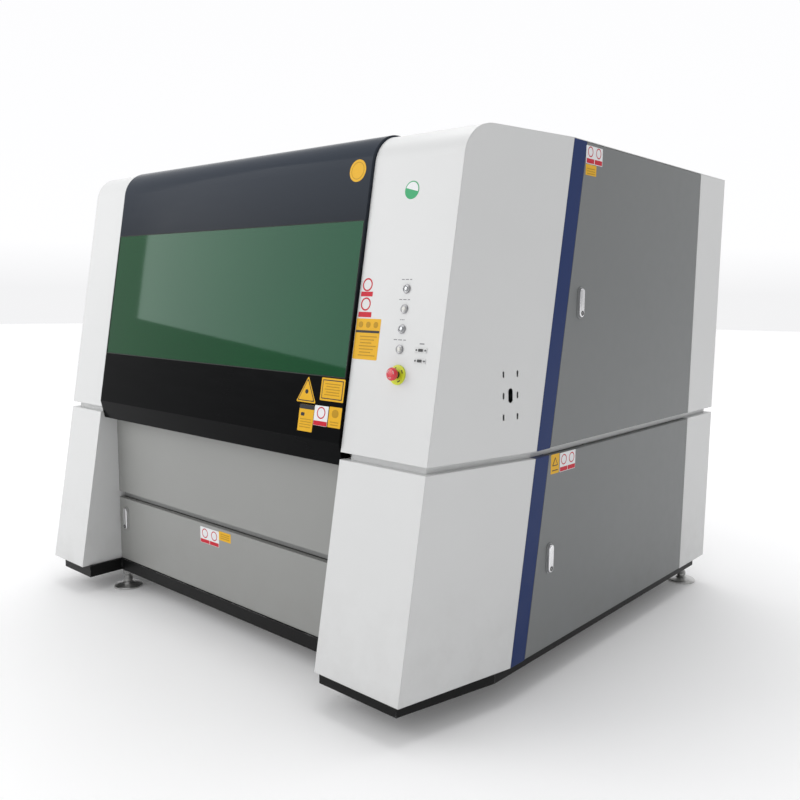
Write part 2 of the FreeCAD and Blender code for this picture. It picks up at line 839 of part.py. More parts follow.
def make_doors():
    """All six doors, their latches and their hinge arms."""
    doors = {}
    arms = []
    shift = door_pin_edge
    for level, (low, high, latch_z) in side_doors.items():
        latch_y = lean_y(latch_z, band_rear + seam + latch_edge) - door_hinge_y
        pan = door_pan(side_outline(low, high, 0), side_outline(low, high, sheet), low, high, latch_y,
                       latch_z)
        latch = make_latch(latch_y, latch_z)
        for side, place in (("right", to_right), ("left", to_left)):
            doors["door_%s_%s" % (level, side)] = place(pan)
            doors["latch_%s_%s" % (level, side)] = place(latch)
            arms += [place(hinge_arm(z)) for z in hinge_heights(low, high)]
    flat = (
        ("front", front_door_width, lower_door_low, front_door_high, front_latch_z, latch_front_edge,
         to_front),
        ("rear", rear_door_width, lower_door_low, lower_door_high, rear_latch_z, latch_front_edge, to_rear),
    )
    for name, width, low, high, latch_z, edge, place in flat:
        latch_y = -width - seam + edge
        pan = door_pan(flat_outline(width, low, high, 0), flat_outline(width, low, high, sheet), low, high,
                       latch_y, latch_z)
        doors["door_" + name] = place(pan)
        doors["latch_" + name] = place(make_latch(latch_y, latch_z))
        arms += [place(hinge_arm(z)) for z in hinge_heights(low, high)]
    doors["door_hinge_pins"] = Part.makeCompound(arms)
    return doors


# ---- hood ----

def hood_form(inset, rear, lip_trim, x0, x1):
    """Everything behind the hood's outer skin moved inwards by inset, down to its lip."""
    front_shift = (inset - hood_front_proud) * lean_factor
    top = hood_top - inset
    radius = hood_radius - inset
    corner = V(0, lean_y(top, front_shift), top)
    along_front = V(0, lean, 1) * (1 / lean_factor)
    turn = math.pi / 2 - math.atan(lean)
    reach = radius * math.tan(turn / 2)
    start = corner - along_front * reach
    end = corner + V(0, reach, 0)
    centre = end - V(0, 0, radius)
    middle_direction = (start - centre) + (end - centre)
    middle = centre + middle_direction.normalize() * radius
    outer_fold = V(0, lean_y(hood_fold_z, -hood_front_proud * lean_factor), hood_fold_z)
    outer_lip = outer_fold + V(0, hood_lip_setback, hood_lip_z - hood_fold_z)
    down = (outer_lip - outer_fold).normalize()
    inward = V(0, -down.z, down.y)
    # the inset fold lies where the inset front line meets the inset lip line
    lip_start = outer_fold + inward * inset
    t = (lip_start.y - lean_y(lip_start.z, front_shift)) / (lean * down.z - down.y)
    fold_point = lip_start + down * t
    lip_point = outer_lip + inward * inset - down * lip_trim
    edges = [
        Part.makeLine(lip_point, fold_point), Part.makeLine(fold_point, start),
        Part.Arc(start, middle, end).toShape(), Part.makeLine(end, V(0, rear, top)),
        Part.makeLine(V(0, rear, top), V(0, rear, lip_point.z)),
        Part.makeLine(V(0, rear, lip_point.z), lip_point),
    ]
    face = Part.Face(Part.Wire(edges))
    face.translate(V(x0, 0, 0))
    return face.extrude(V(x1 - x0, 0, 0))


def hood_slab(inset0, inset1, x0, x1, z0, z1):
    """Part of the hood's sloping wall between two insets and two heights, cut square to the slope."""
    centre = hinge_y
    outer = hood_form(inset0, centre, 0, x0, x1)
    inner = hood_form(inset1, centre + 10, 0, x0, x1)
    points = []
    for z, run in ((z0, -80), (z1, -80), (z1, 80), (z0, 80)):
        points.append((lean_y(z) + run, z - run * lean))
    return outer.cut(inner).common(prism_x(points, x0, x1))


def make_hood_shell():
    """Hood pressing: skin, side cheeks, lip and rear rims, and the ledge that holds the window."""
    rear = roof_front_y - 2 * seam
    whole = hood_form(0, rear, 0, hood_left, hood_right)
    core = hood_form(hood_cheek, rear + 10, -100, hood_left - 1, hood_right + 1)
    pocket = hood_form(sheet, rear - sheet, sheet, hood_left + sheet, hood_right - sheet)
    shell = cut_all(whole, [core, pocket])
    wx0 = hood_left + window_margin
    wx1 = hood_right - window_margin
    depth = window_thickness + running_gap
    rim = 4.0
    frame = hood_slab(sheet / 2, depth + sheet, wx0 - rim - 1, wx1 + rim + 1, window_low - rim,
                      window_high + rim)
    frame = frame.common(box(hood_left + sheet / 2, hood_right - sheet / 2, front_y - 200, rear, 0, far))
    opening = hood_slab(-5, depth, wx0, wx1, window_low, window_high)
    view = hood_slab(-5, depth + sheet + 2, wx0 + window_ledge, wx1 - window_ledge,
                     window_low + window_ledge, window_high - window_ledge)
    shell = join([shell, frame])
    shell = cut_all(shell, [opening, view])
    return join([shell] + hood_strut_bosses() )


def hood_strut_bosses():
    """Short bosses on the cheeks, ending just short of the struts' upper eyes."""
    y = hinge_y - strut_hood_back
    z = hinge_z - strut_hood_drop
    reach = strut_inset - strut_eye_width / 2 - strut_open_gap
    right = rod(8, V(right_inner_x - reach, y, z), V(1, 0, 0), reach - hood_gap - sheet / 2)
    left = rod(8, V(left_inner_x + hood_gap + sheet / 2, y, z), V(1, 0, 0), reach - hood_gap - sheet / 2)
    return [right, left]


def make_hood_window():
    """Tinted laser-safe pane, nearly flush in the hood's opening."""
    gap = running_gap
    x0 = hood_left + window_margin + gap
    x1 = hood_right - window_margin - gap
    return hood_slab(gap, window_thickness + gap, x0, x1, window_low + gap, window_high - gap)


def hinge_places():
    """The x centres of the hood's hinges."""
    span = hood_right - hood_left
    return [hood_left + span * (i + 0.5) / hinge_count for i in range(hinge_count)]


def make_hood_hinge_leaves():
    """Hood halves of the hinges: leaf on the hood's top and two end knuckles."""
    shapes = []
    for x in hinge_places():
        x0 = x - hinge_length / 2
        leaf = box(x0, x0 + hinge_length, hinge_y - hinge_leaf_depth, hinge_y - 1, hood_top,
                   hood_top + hinge_leaf)
        third = hinge_length / 3
        ends = [rod(hinge_radius, V(x0 + dx, hinge_y, hinge_z), V(1, 0, 0), third - running_gap)
                for dx in (0, 2 * third + running_gap)]
        clear = box(x0 + third - running_gap, x0 + 2 * third + running_gap, hinge_y - hinge_radius - 1,
                    hinge_y, hood_top - 1, hinge_z + hinge_radius)
        bore = rod(hinge_pin_radius + hinge_pin_clearance, V(x0 - 1, hinge_y, hinge_z), V(1, 0, 0),
                   hinge_length + 2)
        shapes.append(cut_all(join([leaf] + ends), [clear, bore]))
    return Part.makeCompound(shapes)


def make_hood_hinge_bases():
    """Roof halves of the hinges: block on the roof, middle knuckle and the pin."""
    shapes = []
    for x in hinge_places():
        x0 = x - hinge_length / 2
        third = hinge_length / 3
        block = box(x0, x0 + hinge_length, roof_front_y + 1, hinge_y + hinge_leaf_depth, roof_z,
                    hood_top + hinge_leaf)
        relief = [rod(hinge_radius + 1, V(x0 + dx, hinge_y, hinge_z), V(1, 0, 0), third + 1)
                  for dx in (-1, 2 * third)]
        middle = rod(hinge_radius, V(x0 + third, hinge_y, hinge_z), V(1, 0, 0), third)
        bridge = box(x0 + third, x0 + 2 * third, hinge_y, roof_front_y + 3, hood_top, hood_top + hinge_leaf)
        pin = rod(hinge_pin_radius, V(x0, hinge_y, hinge_z), V(1, 0, 0), hinge_length)
        shapes.append(join([cut_all(block, relief), middle, bridge, pin]))
    return Part.makeCompound(shapes)


# ---- gas struts ----

def strut_line():
    """The lower eye, the unit vector along the closed strut and its closed length, in the YZ plane."""
    lower = V(0, hinge_y - strut_frame_back, hinge_z - strut_frame_drop)
    upper = V(0, hinge_y - strut_hood_back, hinge_z - strut_hood_drop)
    span = upper - lower
    length = span.Length
    return lower, span.normalize(), length


def eye(x, centre, clearance):
    """A round eye across X."""
    start = V(x - strut_eye_width / 2, centre.y, centre.z)
    ring = rod(strut_eye_radius, start, V(1, 0, 0), strut_eye_width)
    return ring, rod(strut_pin_radius + clearance, start - V(1, 0, 0), V(1, 0, 0), strut_eye_width + 2)


def make_strut_cylinder(x):
    """Closed tube with an eye at its foot and a guide for the rod at its head."""
    lower, along, length = strut_line()
    lower = lower + V(x, 0, 0)
    ring, hole = eye(x, lower, strut_pin_clearance)
    neck = rod(strut_rod_radius, lower + along * (strut_eye_radius - 3), along, strut_neck)
    tube_start = lower + along * strut_neck
    tube_length = strut_stroke + 80
    tube = rod(strut_tube_radius, tube_start, along, tube_length)
    bore = rod(strut_bore_radius, tube_start + along * 14, along, tube_length - 14 - 10)
    guide = rod(strut_rod_radius + strut_rod_clearance, tube_start + along * 20, along, tube_length)
    return cut_all(join([ring, neck, tube]), [hole, bore, guide])


def make_strut_rod(x):
    """Rod with its piston inside the tube and an eye at its head."""
    lower, along, length = strut_line()
    lower = lower + V(x, 0, 0)
    upper = lower + along * length
    ring, hole = eye(x, upper, 0.3)
    piston = rod(strut_piston_radius, lower + along * 36, along, 8)
    shaft = rod(strut_rod_radius, lower + along * 36, along, length - 36 - strut_eye_radius + 3)
    return cut_all(join([ring, piston, shaft]), [hole])


# ---- controls ----

def make_button_bezels():
    shapes = []
    for i in range(button_count):
        z = button_low_z + i * button_pitch
        bezel = rod(button_bezel_radius, face_point(button_x, z), face_normal, button_bezel_height)
        barrel = rod(button_barrel_radius, face_point(button_x, z, -button_barrel_length), face_normal,
                     button_barrel_length + 1)
        bore = rod(button_cap_radius + button_cap_clearance,
                   face_point(button_x, z, -button_barrel_length + 4), face_normal, 60)
        shapes.append(join([bezel, barrel]).cut(bore))
    return Part.makeCompound(shapes)


def make_button(index):
    z = button_low_z + index * button_pitch
    length = button_cap_proud + 12
    return rod(button_cap_radius, face_point(button_x, z, button_cap_proud - length), face_normal, length)


def make_estop_collar():
    ring = rod(estop_collar_radius, face_point(estop_x, estop_z), face_normal, estop_collar_height)
    barrel = rod(estop_stem_radius + 3.5, face_point(estop_x, estop_z, -estop_stem_bury), face_normal,
                 estop_stem_bury + 1)
    bore = rod(estop_stem_radius + estop_stem_clearance, face_point(estop_x, estop_z, -estop_stem_bury - 1),
               face_normal, 60)
    return join([ring, barrel]).cut(bore)


def make_estop_stem():
    body = rod(estop_stem_radius, face_point(estop_x, estop_z, -estop_stem_bury + 6), face_normal,
               estop_stem_bury - 6 + estop_stem_proud)
    spigot = rod(estop_spigot_radius, face_point(estop_x, estop_z, estop_stem_proud - 1), face_normal,
                 estop_spigot_length + 1)
    return join([body, spigot])


def make_estop_cap():
    start = face_point(estop_x, estop_z, estop_stem_proud + running_gap)
    skirt = Part.makeCone(estop_cap_radius - 4, estop_cap_radius, 5, start, face_normal)
    crown = rod(estop_cap_radius, start + face_normal * 5, face_normal, estop_cap_height - 9)
    dome = Part.makeCone(estop_cap_radius, estop_cap_radius - 6, 4,
                         start + face_normal * (estop_cap_height - 4), face_normal)
    hole = rod(estop_spigot_radius + 0.05, start - face_normal, face_normal, estop_spigot_length + 1.3)
    return join([skirt, crown, dome]).cut(hole)


def make_service_ports():
    shapes = []
    up = V(0, lean, 1) * (1 / lean_factor)
    for i in range(2):
        plate = port_block(i, port_width / 2, port_height / 2, 0, 1.5)
        shell = port_block(i, 10.5, 4.5, -14, 1.0)
        cap = port_block(i, 8.5, 4.0, 1.0, 4.0)
        centre = face_point(port_x, port_low_z + i * port_pitch, 1.0)
        screws = [rod(port_screw_radius, centre + V(dx, 0, 0), face_normal, 2.0)
                  for dx in (-port_screw_x, port_screw_x)]
        shapes.append(join([plate, shell, cap] + screws))
    return Part.makeCompound(shapes)


# ---- chamber, table and tray ----

def make_chamber_liner():
    """Chamber walls: both sides and the rear, behind the columns' inner returns."""
    x0 = left_inner_x - sheet
    x1 = right_inner_x + sheet
    y0 = behind(recess_depth + bed_front_gap)
    y1 = behind(bed_rear_depth) + liner_wall
    whole = box(x0, x1, y0, y1, liner_low, liner_high)
    room = box(x0 + liner_wall, x1 - liner_wall, y0 - 1, y1 - liner_wall, liner_low - 1, liner_high + 1)
    slope = leaning_slab(x0 - 1, x1 + 1, -500, taper_run + seam, 0, liner_high + 1)
    return cut_all(whole, [room, slope])


def slat_frame_box():
    front = behind(recess_depth + bed_front_gap) + 4
    return tray_left(), tray_right(), front, behind(bed_rear_depth) - bed_beam - 6


def make_slat_frame():
    """Rectangular frame on the bed's cross bars, which carries the slats."""
    x0, x1, y0, y1 = slat_frame_box()
    bar = slat_frame_bar
    z1 = bed_cross_high + bar
    outer = box(x0, x1, y0, y1, bed_cross_high, z1)
    inner = box(x0 + bar, x1 - bar, y0 + bar, y1 - bar, bed_cross_high - 1, z1 + 1)
    notches = []
    for x in slat_places():
        notches.append(box(x - slat_thickness / 2 - 0.5, x + slat_thickness / 2 + 0.5, y0 + 6, y1 - 6,
                           slat_top - slat_height, z1 + 1))
    return cut_all(outer, [inner] + notches)


def slat_places():
    x0, x1, y0, y1 = slat_frame_box()
    count = int((x1 - x0 - 2 * slat_frame_bar) / slat_pitch)
    middle = (x0 + x1) / 2
    return [middle + (i - (count - 1) / 2) * slat_pitch for i in range(count)]


def make_slats():
    """Upright slats along Y, standing in the frame's notches, with a toothed top edge."""
    x0, x1, y0, y1 = slat_frame_box()
    low = slat_top - slat_height
    start = y0 + 7
    end = y1 - 7
    teeth = int((end - start) / 40)
    pitch = (end - start) / teeth
    outline = [(start, low), (end, low), (end, slat_top - 12)]
    for i in range(teeth):
        crest = end - (i + 0.5) * pitch
        root = end - (i + 1) * pitch
        outline += [(crest, slat_top), (root, slat_top - 12)]
    shapes = []
    for x in slat_places():
        shapes.append(prism_x(outline, x - slat_thickness / 2, x + slat_thickness / 2))
    return Part.makeCompound(shapes)


def make_slag_tray():
    """Open tray on two runners behind the front door, with a folded front grip."""
    x0 = tray_left() + 5
    x1 = tray_right() - 5
    y0 = behind(recess_depth + tray_front_gap)
    y1 = behind(tray_rear_depth)
    z1 = tray_floor_z + tray_height
    whole = box(x0, x1, y0, y1, tray_floor_z, z1)
    room = box(x0 + tray_wall, x1 - tray_wall, y0 + tray_wall, y1 - tray_wall, tray_floor_z + tray_wall,
               z1 + 1)
    grip = box(-200, 200, y0 - 1, y0 + tray_wall + 1, z1 - 60, z1 - 30)
    return cut_all(whole, [room, grip])


def make_y_rails():
    """Two profile rails on the bed's beams."""
    shapes = []
    for x in (bed_left_x, bed_right_x):
        y0 = behind(recess_depth + bed_front_gap) + rail_margin
        y1 = behind(bed_rear_depth) - rail_margin
        shapes.append(box(x - rail_half_width, x + rail_half_width, y0, y1, bed_beam_high,
                          bed_beam_high + rail_height))
    return Part.makeCompound(shapes)


# ---- gantry ----

def make_gantry_beam():
    """Cross beam with its end risers, bearing blocks and the carriage's rails."""
    yc = behind(gantry_depth)
    x0 = bed_left_x - block_half_width
    x1 = bed_right_x + block_half_width
    beam = box(x0, x1, yc - beam_half_depth, yc + beam_half_depth, beam_low, beam_high)
    core = box(x0 + 8, x1 - 8, yc - beam_half_depth + 6, yc + beam_half_depth - 6, beam_low + 6,
               beam_high - 6)
    parts = [beam.cut(core)]
    grooves = []
    for x in (bed_left_x, bed_right_x):
        parts.append(box(x - block_half_width, x + block_half_width, yc - block_half_length,
                         yc + block_half_length, block_low, block_high))
        parts.append(box(x - 25, x + 25, yc - beam_half_depth, yc + beam_half_depth, block_high, beam_low))
        half = rail_half_width + running_gap
        grooves.append(box(x - half, x + half, yc - 200, yc + 200, block_low - 1,
                           bed_beam_high + rail_height + running_gap))
    for z in (beam_low + 28, beam_high - 28):
        parts.append(box(x0 + 6, x1 - 6, yc - beam_half_depth - 16, yc - beam_half_depth, z - 9, z + 9))
    return cut_all(join(parts), grooves)


def carriage_face_y():
    """The carriage plate's rear face, just clear of the rails on the beam."""
    return behind(gantry_depth) - beam_half_depth - 16 - 6


def make_carriage():
    """Plate with four bearing pads that hook over the beam's rails, and the Z guide."""
    y1 = carriage_face_y()
    x = carriage_rest_x
    w = carriage_half_width
    parts = [box(x - w, x + w, y1 - carriage_plate, y1, beam_low + 6, beam_high + 30)]
    grooves = []
    for z in (beam_low + 28, beam_high - 28):
        parts.append(box(x - w + 5, x + w - 5, y1, y1 + 20, z - 20, z + 20))
        grooves.append(box(x - w, x + w, y1 + 6 - running_gap, y1 + 30, z - 9 - running_gap,
                           z + 9 + running_gap))
    parts.append(box(x - 16, x + 16, y1 - carriage_plate - 12, y1 - carriage_plate, beam_low + 10,
                     beam_high + 26))
    return cut_all(join(parts), grooves)


def make_cutting_head():
    """Head on its Z slide: clamp block, collimator body, focus section and nozzle."""
    y1 = carriage_face_y() - carriage_plate - 12
    x = carriage_rest_x
    axis_y = y1 - head_offset
    block = box(x - 40, x + 40, y1 - 24, y1 - running_gap, beam_low + 30, beam_high)
    arm = box(x - 24, x + 24, axis_y, y1 - 20, beam_low + 40, beam_high - 10)
    body = rod(head_radius, V(x, axis_y, beam_low - 5), V(0, 0, 1), beam_high + 60 - beam_low)
    collar = rod(head_radius - 6, V(x, axis_y, beam_high + 55), V(0, 0, 1), 40)
    sensor = rod(head_radius - 8, V(x, axis_y, nozzle_tip_z + 34), V(0, 0, 1), beam_low - nozzle_tip_z - 38)
    cone = Part.makeCone(nozzle_radius, 16, 36, V(x, axis_y, nozzle_tip_z), V(0, 0, 1))
    bore = rod(1.2, V(x, axis_y, nozzle_tip_z - 1), V(0, 0, 1), 60)
    return join([block, arm, body, collar, sensor, cone]).cut(bore)


# ---- equipment ----

def make_laser_source():
    """Rack-mount laser source on the left bay's floor: open-backed case, shelf, handles and cooling ports."""
    x1 = left_inner_x - 60
    x0 = x1 - laser_width
    y0 = behind(laser_depth)
    y1 = y0 + laser_length
    z0 = skirt_z
    case = box(x0, x1, y0, y1, z0, z0 + laser_height)
    room = box(x0 + laser_wall, x1 - laser_wall, y0 + laser_wall, y1 + 1, z0 + laser_wall,
               z0 + laser_height - laser_wall)
    module = box(x0 + 1, x1 - 1, y0 + 1, y1 - 120, z0 + 200, z0 + 260)
    parts = [case.cut(room), module]
    for dy in (60, laser_length - 60):
        parts.append(rod(6, V(x0 - 24, y0 + dy, z0 + 150), V(0, 0, 1), 180))
        for z in (z0 + 162, z0 + 318):
            parts.append(rod(5, V(x0 - 24, y0 + dy, z), V(1, 0, 0), 25))
    for dy in (120, 190):
        parts.append(rod(14, V((x0 + x1) / 2, y0 + dy, z0 + laser_height - 1), V(0, 0, 1), 26))
    return join(parts)


def make_electrical_panel():
    """Back plate in the right bay with its drives, contactors, supply and terminal rail."""
    x0 = right_inner_x + sheet
    plate_x = x0 + cabinet_standoff
    y0 = behind(cabinet_depth)
    z0 = cabinet_low
    plate = box(plate_x, plate_x + cabinet_plate, y0, y0 + cabinet_length, z0, z0 + cabinet_height)
    parts = [plate]
    for dy in (40, cabinet_length - 40):
        for dz in (40, cabinet_height - 40):
            parts.append(rod(8, V(x0, y0 + dy, z0 + dz), V(1, 0, 0), cabinet_standoff + 1))
    face = plate_x + cabinet_plate - 1
    for i in range(4):
        y = y0 + 40 + i * 125
        parts.append(box(face, face + 120, y, y + 80, z0 + 520, z0 + 720))
    for i in range(6):
        y = y0 + 40 + i * 82
        parts.append(box(face, face + 70, y, y + 56, z0 + 340, z0 + 440))
    parts.append(box(face, face + 90, y0 + 40, y0 + 240, z0 + 60, z0 + 240))
    parts.append(box(face, face + 50, y0 + 280, y0 + cabinet_length - 40, z0 + 120, z0 + 180))
    return join(parts)


def make_exhaust_spigot():
    """Round duct spigot with a flange on the rear panel's face."""
    tube = rod(spigot_radius, V(0, rear_y - 30, spigot_z), V(0, 1, 0), 30 + spigot_reach)
    flange = rod(spigot_radius + spigot_flange, V(0, rear_y, spigot_z), V(0, 1, 0), 3)
    bore = rod(spigot_radius - spigot_wall, V(0, rear_y - 40, spigot_z), V(0, 1, 0), 60 + spigot_reach)
    return join([tube, flange]).cut(bore)


def make_cable_gland():
    """Gland for the supply cable, through the left rear corner."""
    along = V(0, 1, 0)
    barrel = rod(gland_radius, V(gland_x, rear_y - gland_inner_length, gland_z), along,
                 gland_inner_length + gland_reach)
    angles = [math.radians(60 * i) for i in range(6)]
    ring = [V(gland_x + gland_nut_radius * math.cos(a), rear_y, gland_z + gland_nut_radius * math.sin(a))
            for a in angles]
    nut = prism(ring, along * 9)
    back = rod(gland_nut_radius, V(gland_x, rear_y - sheet - 6, gland_z), along, 6)
    bore = rod(gland_bore_radius, V(gland_x, rear_y - 60, gland_z), along, 120)
    return join([barrel, nut, back]).cut(bore)


def all_nodes():
    nodes = {
        "plinth": make_plinth(),
        "bed_frame": make_bed_frame(),
        "enclosure_frame": make_enclosure_frame(),
        "waist_band": make_waist_band(),
        "column_cover_upper_right": make_upper_cover_right(),
        "column_cover_upper_left": make_upper_cover_left(),
        "column_cover_lower_right": make_lower_cover_right(),
        "column_cover_lower_left": make_lower_cover_left(),
        "side_bands": make_side_bands(),
        "rear_corner_right": make_rear_corner_right(),
        "rear_corner_left": make_rear_corner_left(),
        "roof_panel": make_roof_panel(),
        "front_panel": make_front_panel(),
        "rear_panel": make_rear_panel(),
        "chamber_liner": make_chamber_liner(),
        "slat_frame": make_slat_frame(),
        "slats": make_slats(),
        "slag_tray": make_slag_tray(),
        "y_rails": make_y_rails(),
        "laser_source": make_laser_source(),
        "electrical_panel": make_electrical_panel(),
        "exhaust_spigot": make_exhaust_spigot(),
        "cable_gland": make_cable_gland(),
        "button_bezels": make_button_bezels(),
        "estop_collar": make_estop_collar(),
        "estop_stem": make_estop_stem(),
        "estop_cap": make_estop_cap(),
        "service_ports": make_service_ports(),
        "hood_shell": make_hood_shell(),
        "hood_window": make_hood_window(),
        "hood_hinge_leaves": make_hood_hinge_leaves(),
        "hood_hinge_bases": make_hood_hinge_bases(),
        "gantry_beam": make_gantry_beam(),
        "carriage": make_carriage(),
        "cutting_head": make_cutting_head(),
    }
    for i in range(button_count):
        nodes["button_%d" % (i + 1)] = make_button(i)
    for name, x in (("right", right_inner_x - strut_inset), ("left", left_inner_x + strut_inset)):
        nodes["strut_cylinder_" + name] = make_strut_cylinder(x)
        nodes["strut_rod_" + name] = make_strut_rod(x)
    for name, place in zip(("front_left", "front_right", "rear_left", "rear_right"), foot_places()):
        nodes["foot_" + name] = make_foot(*place)
    nodes.update(make_doors())
    return nodes


os.makedirs("parts", exist_ok=True)
for node, shape in all_nodes().items():
    shape.exportStep("parts/%s.step" % node)
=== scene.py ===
import math
from types import SimpleNamespace

import bpy
import numpy as np
from mathutils import Matrix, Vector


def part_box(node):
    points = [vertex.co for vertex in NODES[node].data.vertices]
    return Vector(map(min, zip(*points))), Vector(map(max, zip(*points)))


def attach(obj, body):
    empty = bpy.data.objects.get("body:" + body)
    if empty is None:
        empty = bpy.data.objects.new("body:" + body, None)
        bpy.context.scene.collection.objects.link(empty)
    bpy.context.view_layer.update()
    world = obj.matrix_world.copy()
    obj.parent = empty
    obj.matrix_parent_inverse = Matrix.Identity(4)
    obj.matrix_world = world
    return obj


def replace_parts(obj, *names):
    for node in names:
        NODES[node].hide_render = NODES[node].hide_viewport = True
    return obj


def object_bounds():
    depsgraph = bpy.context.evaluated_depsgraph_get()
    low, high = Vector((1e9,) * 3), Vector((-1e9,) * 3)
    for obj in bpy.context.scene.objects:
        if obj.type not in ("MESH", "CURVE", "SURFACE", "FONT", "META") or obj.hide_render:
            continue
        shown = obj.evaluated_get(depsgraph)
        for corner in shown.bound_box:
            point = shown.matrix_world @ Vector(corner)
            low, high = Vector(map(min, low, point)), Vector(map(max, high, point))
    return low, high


bl_info = {
    "name": "Fibre Laser Cutter",
    "version": (1, 0, 0),
    "blender": (4, 5, 0),
    "location": "View3D > Sidebar > Laser Cutter",
    "description": "Finishes, fittings, labels and stage for an enclosed fibre laser cutting machine",
    "category": "Object",
}

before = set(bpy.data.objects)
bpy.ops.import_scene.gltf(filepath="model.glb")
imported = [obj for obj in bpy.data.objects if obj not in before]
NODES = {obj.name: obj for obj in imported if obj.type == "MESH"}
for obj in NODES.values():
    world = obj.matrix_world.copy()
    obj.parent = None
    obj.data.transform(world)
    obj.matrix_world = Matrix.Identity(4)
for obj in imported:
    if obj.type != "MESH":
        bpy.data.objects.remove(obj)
CAD_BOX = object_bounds()


def colour_property(name, description, default):
    """A linear colour without alpha."""
    return bpy.props.FloatVectorProperty(
        name=name, description=description, default=default, subtype="COLOR", size=3, min=0.0, max=1.0)


def number_property(name, description, default, **kind):
    """A number with its unit or subtype."""
    return bpy.props.FloatProperty(name=name, description=description, default=default, **kind)


def length_property(name, description, default):
    """A length in metres."""
    return number_property(name, description, default, unit="LENGTH")


class CutterColours(bpy.types.PropertyGroup):
    """Colours of the machine's finishes."""
    cover: colour_property("Covers", "Powder coat of the columns, corners and roof", (0.675, 0.680, 0.677))
    panel: colour_property(
        "Front panels", "Powder coat of the recessed front panel and door", (0.282, 0.285, 0.275))
    door: colour_property("Side doors", "Powder coat of the side and rear doors", (0.170, 0.178, 0.179))
    band: colour_property(
        "Side bands", "Blue stripe between the columns and the side doors", (0.0020, 0.021, 0.115))
    hood: colour_property("Hood", "Dark enamel of the lifting hood", (0.0025, 0.0027, 0.0030))
    # The second hood colour is a painted reflection: the lighter blue-grey that the hood's upper part shows,
    # mixed into its colour, not a change of the paint.
    hood_top_reflection: colour_property(
        "Hood top", "Blue-grey that the enamel weathers to near the top", (0.042, 0.050, 0.064))
    pane: colour_property("Window", "Tint of the laser-safe window", (0.0003, 0.046, 0.008))
    base: colour_property("Plinth", "Satin black of the plinth", (0.006, 0.006, 0.006))
    structure: colour_property(
        "Structure", "Machine enamel of the bed and the enclosure frame", (0.26, 0.265, 0.26))
    zinc: colour_property("Zinc", "Galvanised sheet of the cutting chamber", (0.52, 0.53, 0.54))
    bar: colour_property("Bar steel", "Hot-rolled slats and tray", (0.27, 0.26, 0.25))
    chrome: colour_property("Chrome", "Plated latches, rings and rods", (0.78, 0.78, 0.79))
    yellow: colour_property("Label yellow", "Plain yellow label fields", (0.76, 0.42, 0.015))
    red: colour_property("Label red", "Plain red label fields", (0.55, 0.012, 0.030))
    white: colour_property("Label white", "Plain white label fields", (0.78, 0.79, 0.80))
    green: colour_property("Badge green", "Plain green field of the round badge", (0.05, 0.38, 0.16))
    ink: colour_property("Ink", "Dark rules and marks on labels and panels", (0.03, 0.03, 0.035))
    stop: colour_property("Stop red", "Mushroom of the emergency stop", (0.60, 0.012, 0.03))
    lime: colour_property("Stop ring", "Yellow-green ring round the emergency stop", (0.60, 0.66, 0.02))


class CutterSizes(bpy.types.PropertyGroup):
    """Sizes that the fittings and labels take from the machine."""
    lean: number_property("Lean", "Run of the front face for each unit of rise", 0.169, subtype="FACTOR")
    skirt: length_property("Skirt height", "Height of the covers' bottom edge", 0.124)
    hood_proud: length_property("Hood step", "How far the hood stands in front of the columns", 0.010)
    film: length_property("Label thickness", "Thickness of a label", 0.0004)
    button_x: length_property("Button line", "Distance of the push buttons from the centre line", 0.874)
    button_low: length_property("Lowest button", "Height of the lowest push button", 1.146)
    button_pitch: length_property("Button pitch", "Rise from one push button to the next", 0.060)
    stop_x: length_property("Stop line", "Distance of the emergency stop from the centre line", 0.879)
    stop_z: length_property("Stop height", "Height of the emergency stop", 1.070)


class CutterStage(bpy.types.PropertyGroup):
    """Camera and studio light."""
    camera: bpy.props.FloatVectorProperty(
        name="Camera", description="Place of the camera", default=(2.5125, -2.7371, 1.319),
        subtype="TRANSLATION", size=3)
    yaw: number_property("Yaw", "Turn of the camera to the left of +Y", 0.7209, subtype="ANGLE")
    pitch: number_property("Pitch", "Tilt of the camera below the horizon", 0.1308, subtype="ANGLE")
    roll: number_property("Roll", "Roll of the camera", 0.0097, subtype="ANGLE")
    lens: number_property("Lens", "Focal length on a 36 mm sensor", 37.24, unit="CAMERA")
    sky: number_property("Sky", "Strength of the studio's surrounding light", 1.0, subtype="FACTOR")
    shade: number_property(
        "Shade", "Share of the surrounding light kept on the right", 0.50, subtype="FACTOR")
    key: number_property("Key", "Power of the large softbox in front", 120.0, unit="POWER")
    fill: number_property("Fill", "Power of the softbox at the side", 2.0, unit="POWER")
    top: number_property("Top", "Power of the softbox overhead", 120.0, unit="POWER")


# ---- finishes ----

class Value:
    """A socket that takes part in arithmetic: each operator adds one Math node to the finish."""

    def __init__(self, finish, socket):
        self.finish = finish
        self.socket = socket

    def math(self, operation, *others):
        """This value, then the others, through one Math node."""
        inputs = dict(enumerate((self,) + others))
        return self.finish.node("ShaderNodeMath", {"operation": operation}, inputs)

    def __add__(self, other):
        return self.math("ADD", other)

    __radd__ = __add__

    def __mul__(self, other):
        return self.math("MULTIPLY", other)

    __rmul__ = __mul__

    def __sub__(self, other):
        return self.math("SUBTRACT", other)

    def __rsub__(self, other):
        return self.finish.node("ShaderNodeMath", {"operation": "SUBTRACT"}, {0: other, 1: self})

    def sine(self):
        return self.math("SINE")

    def clamp(self):
        return self.finish.node("ShaderNodeClamp", {}, {0: self})


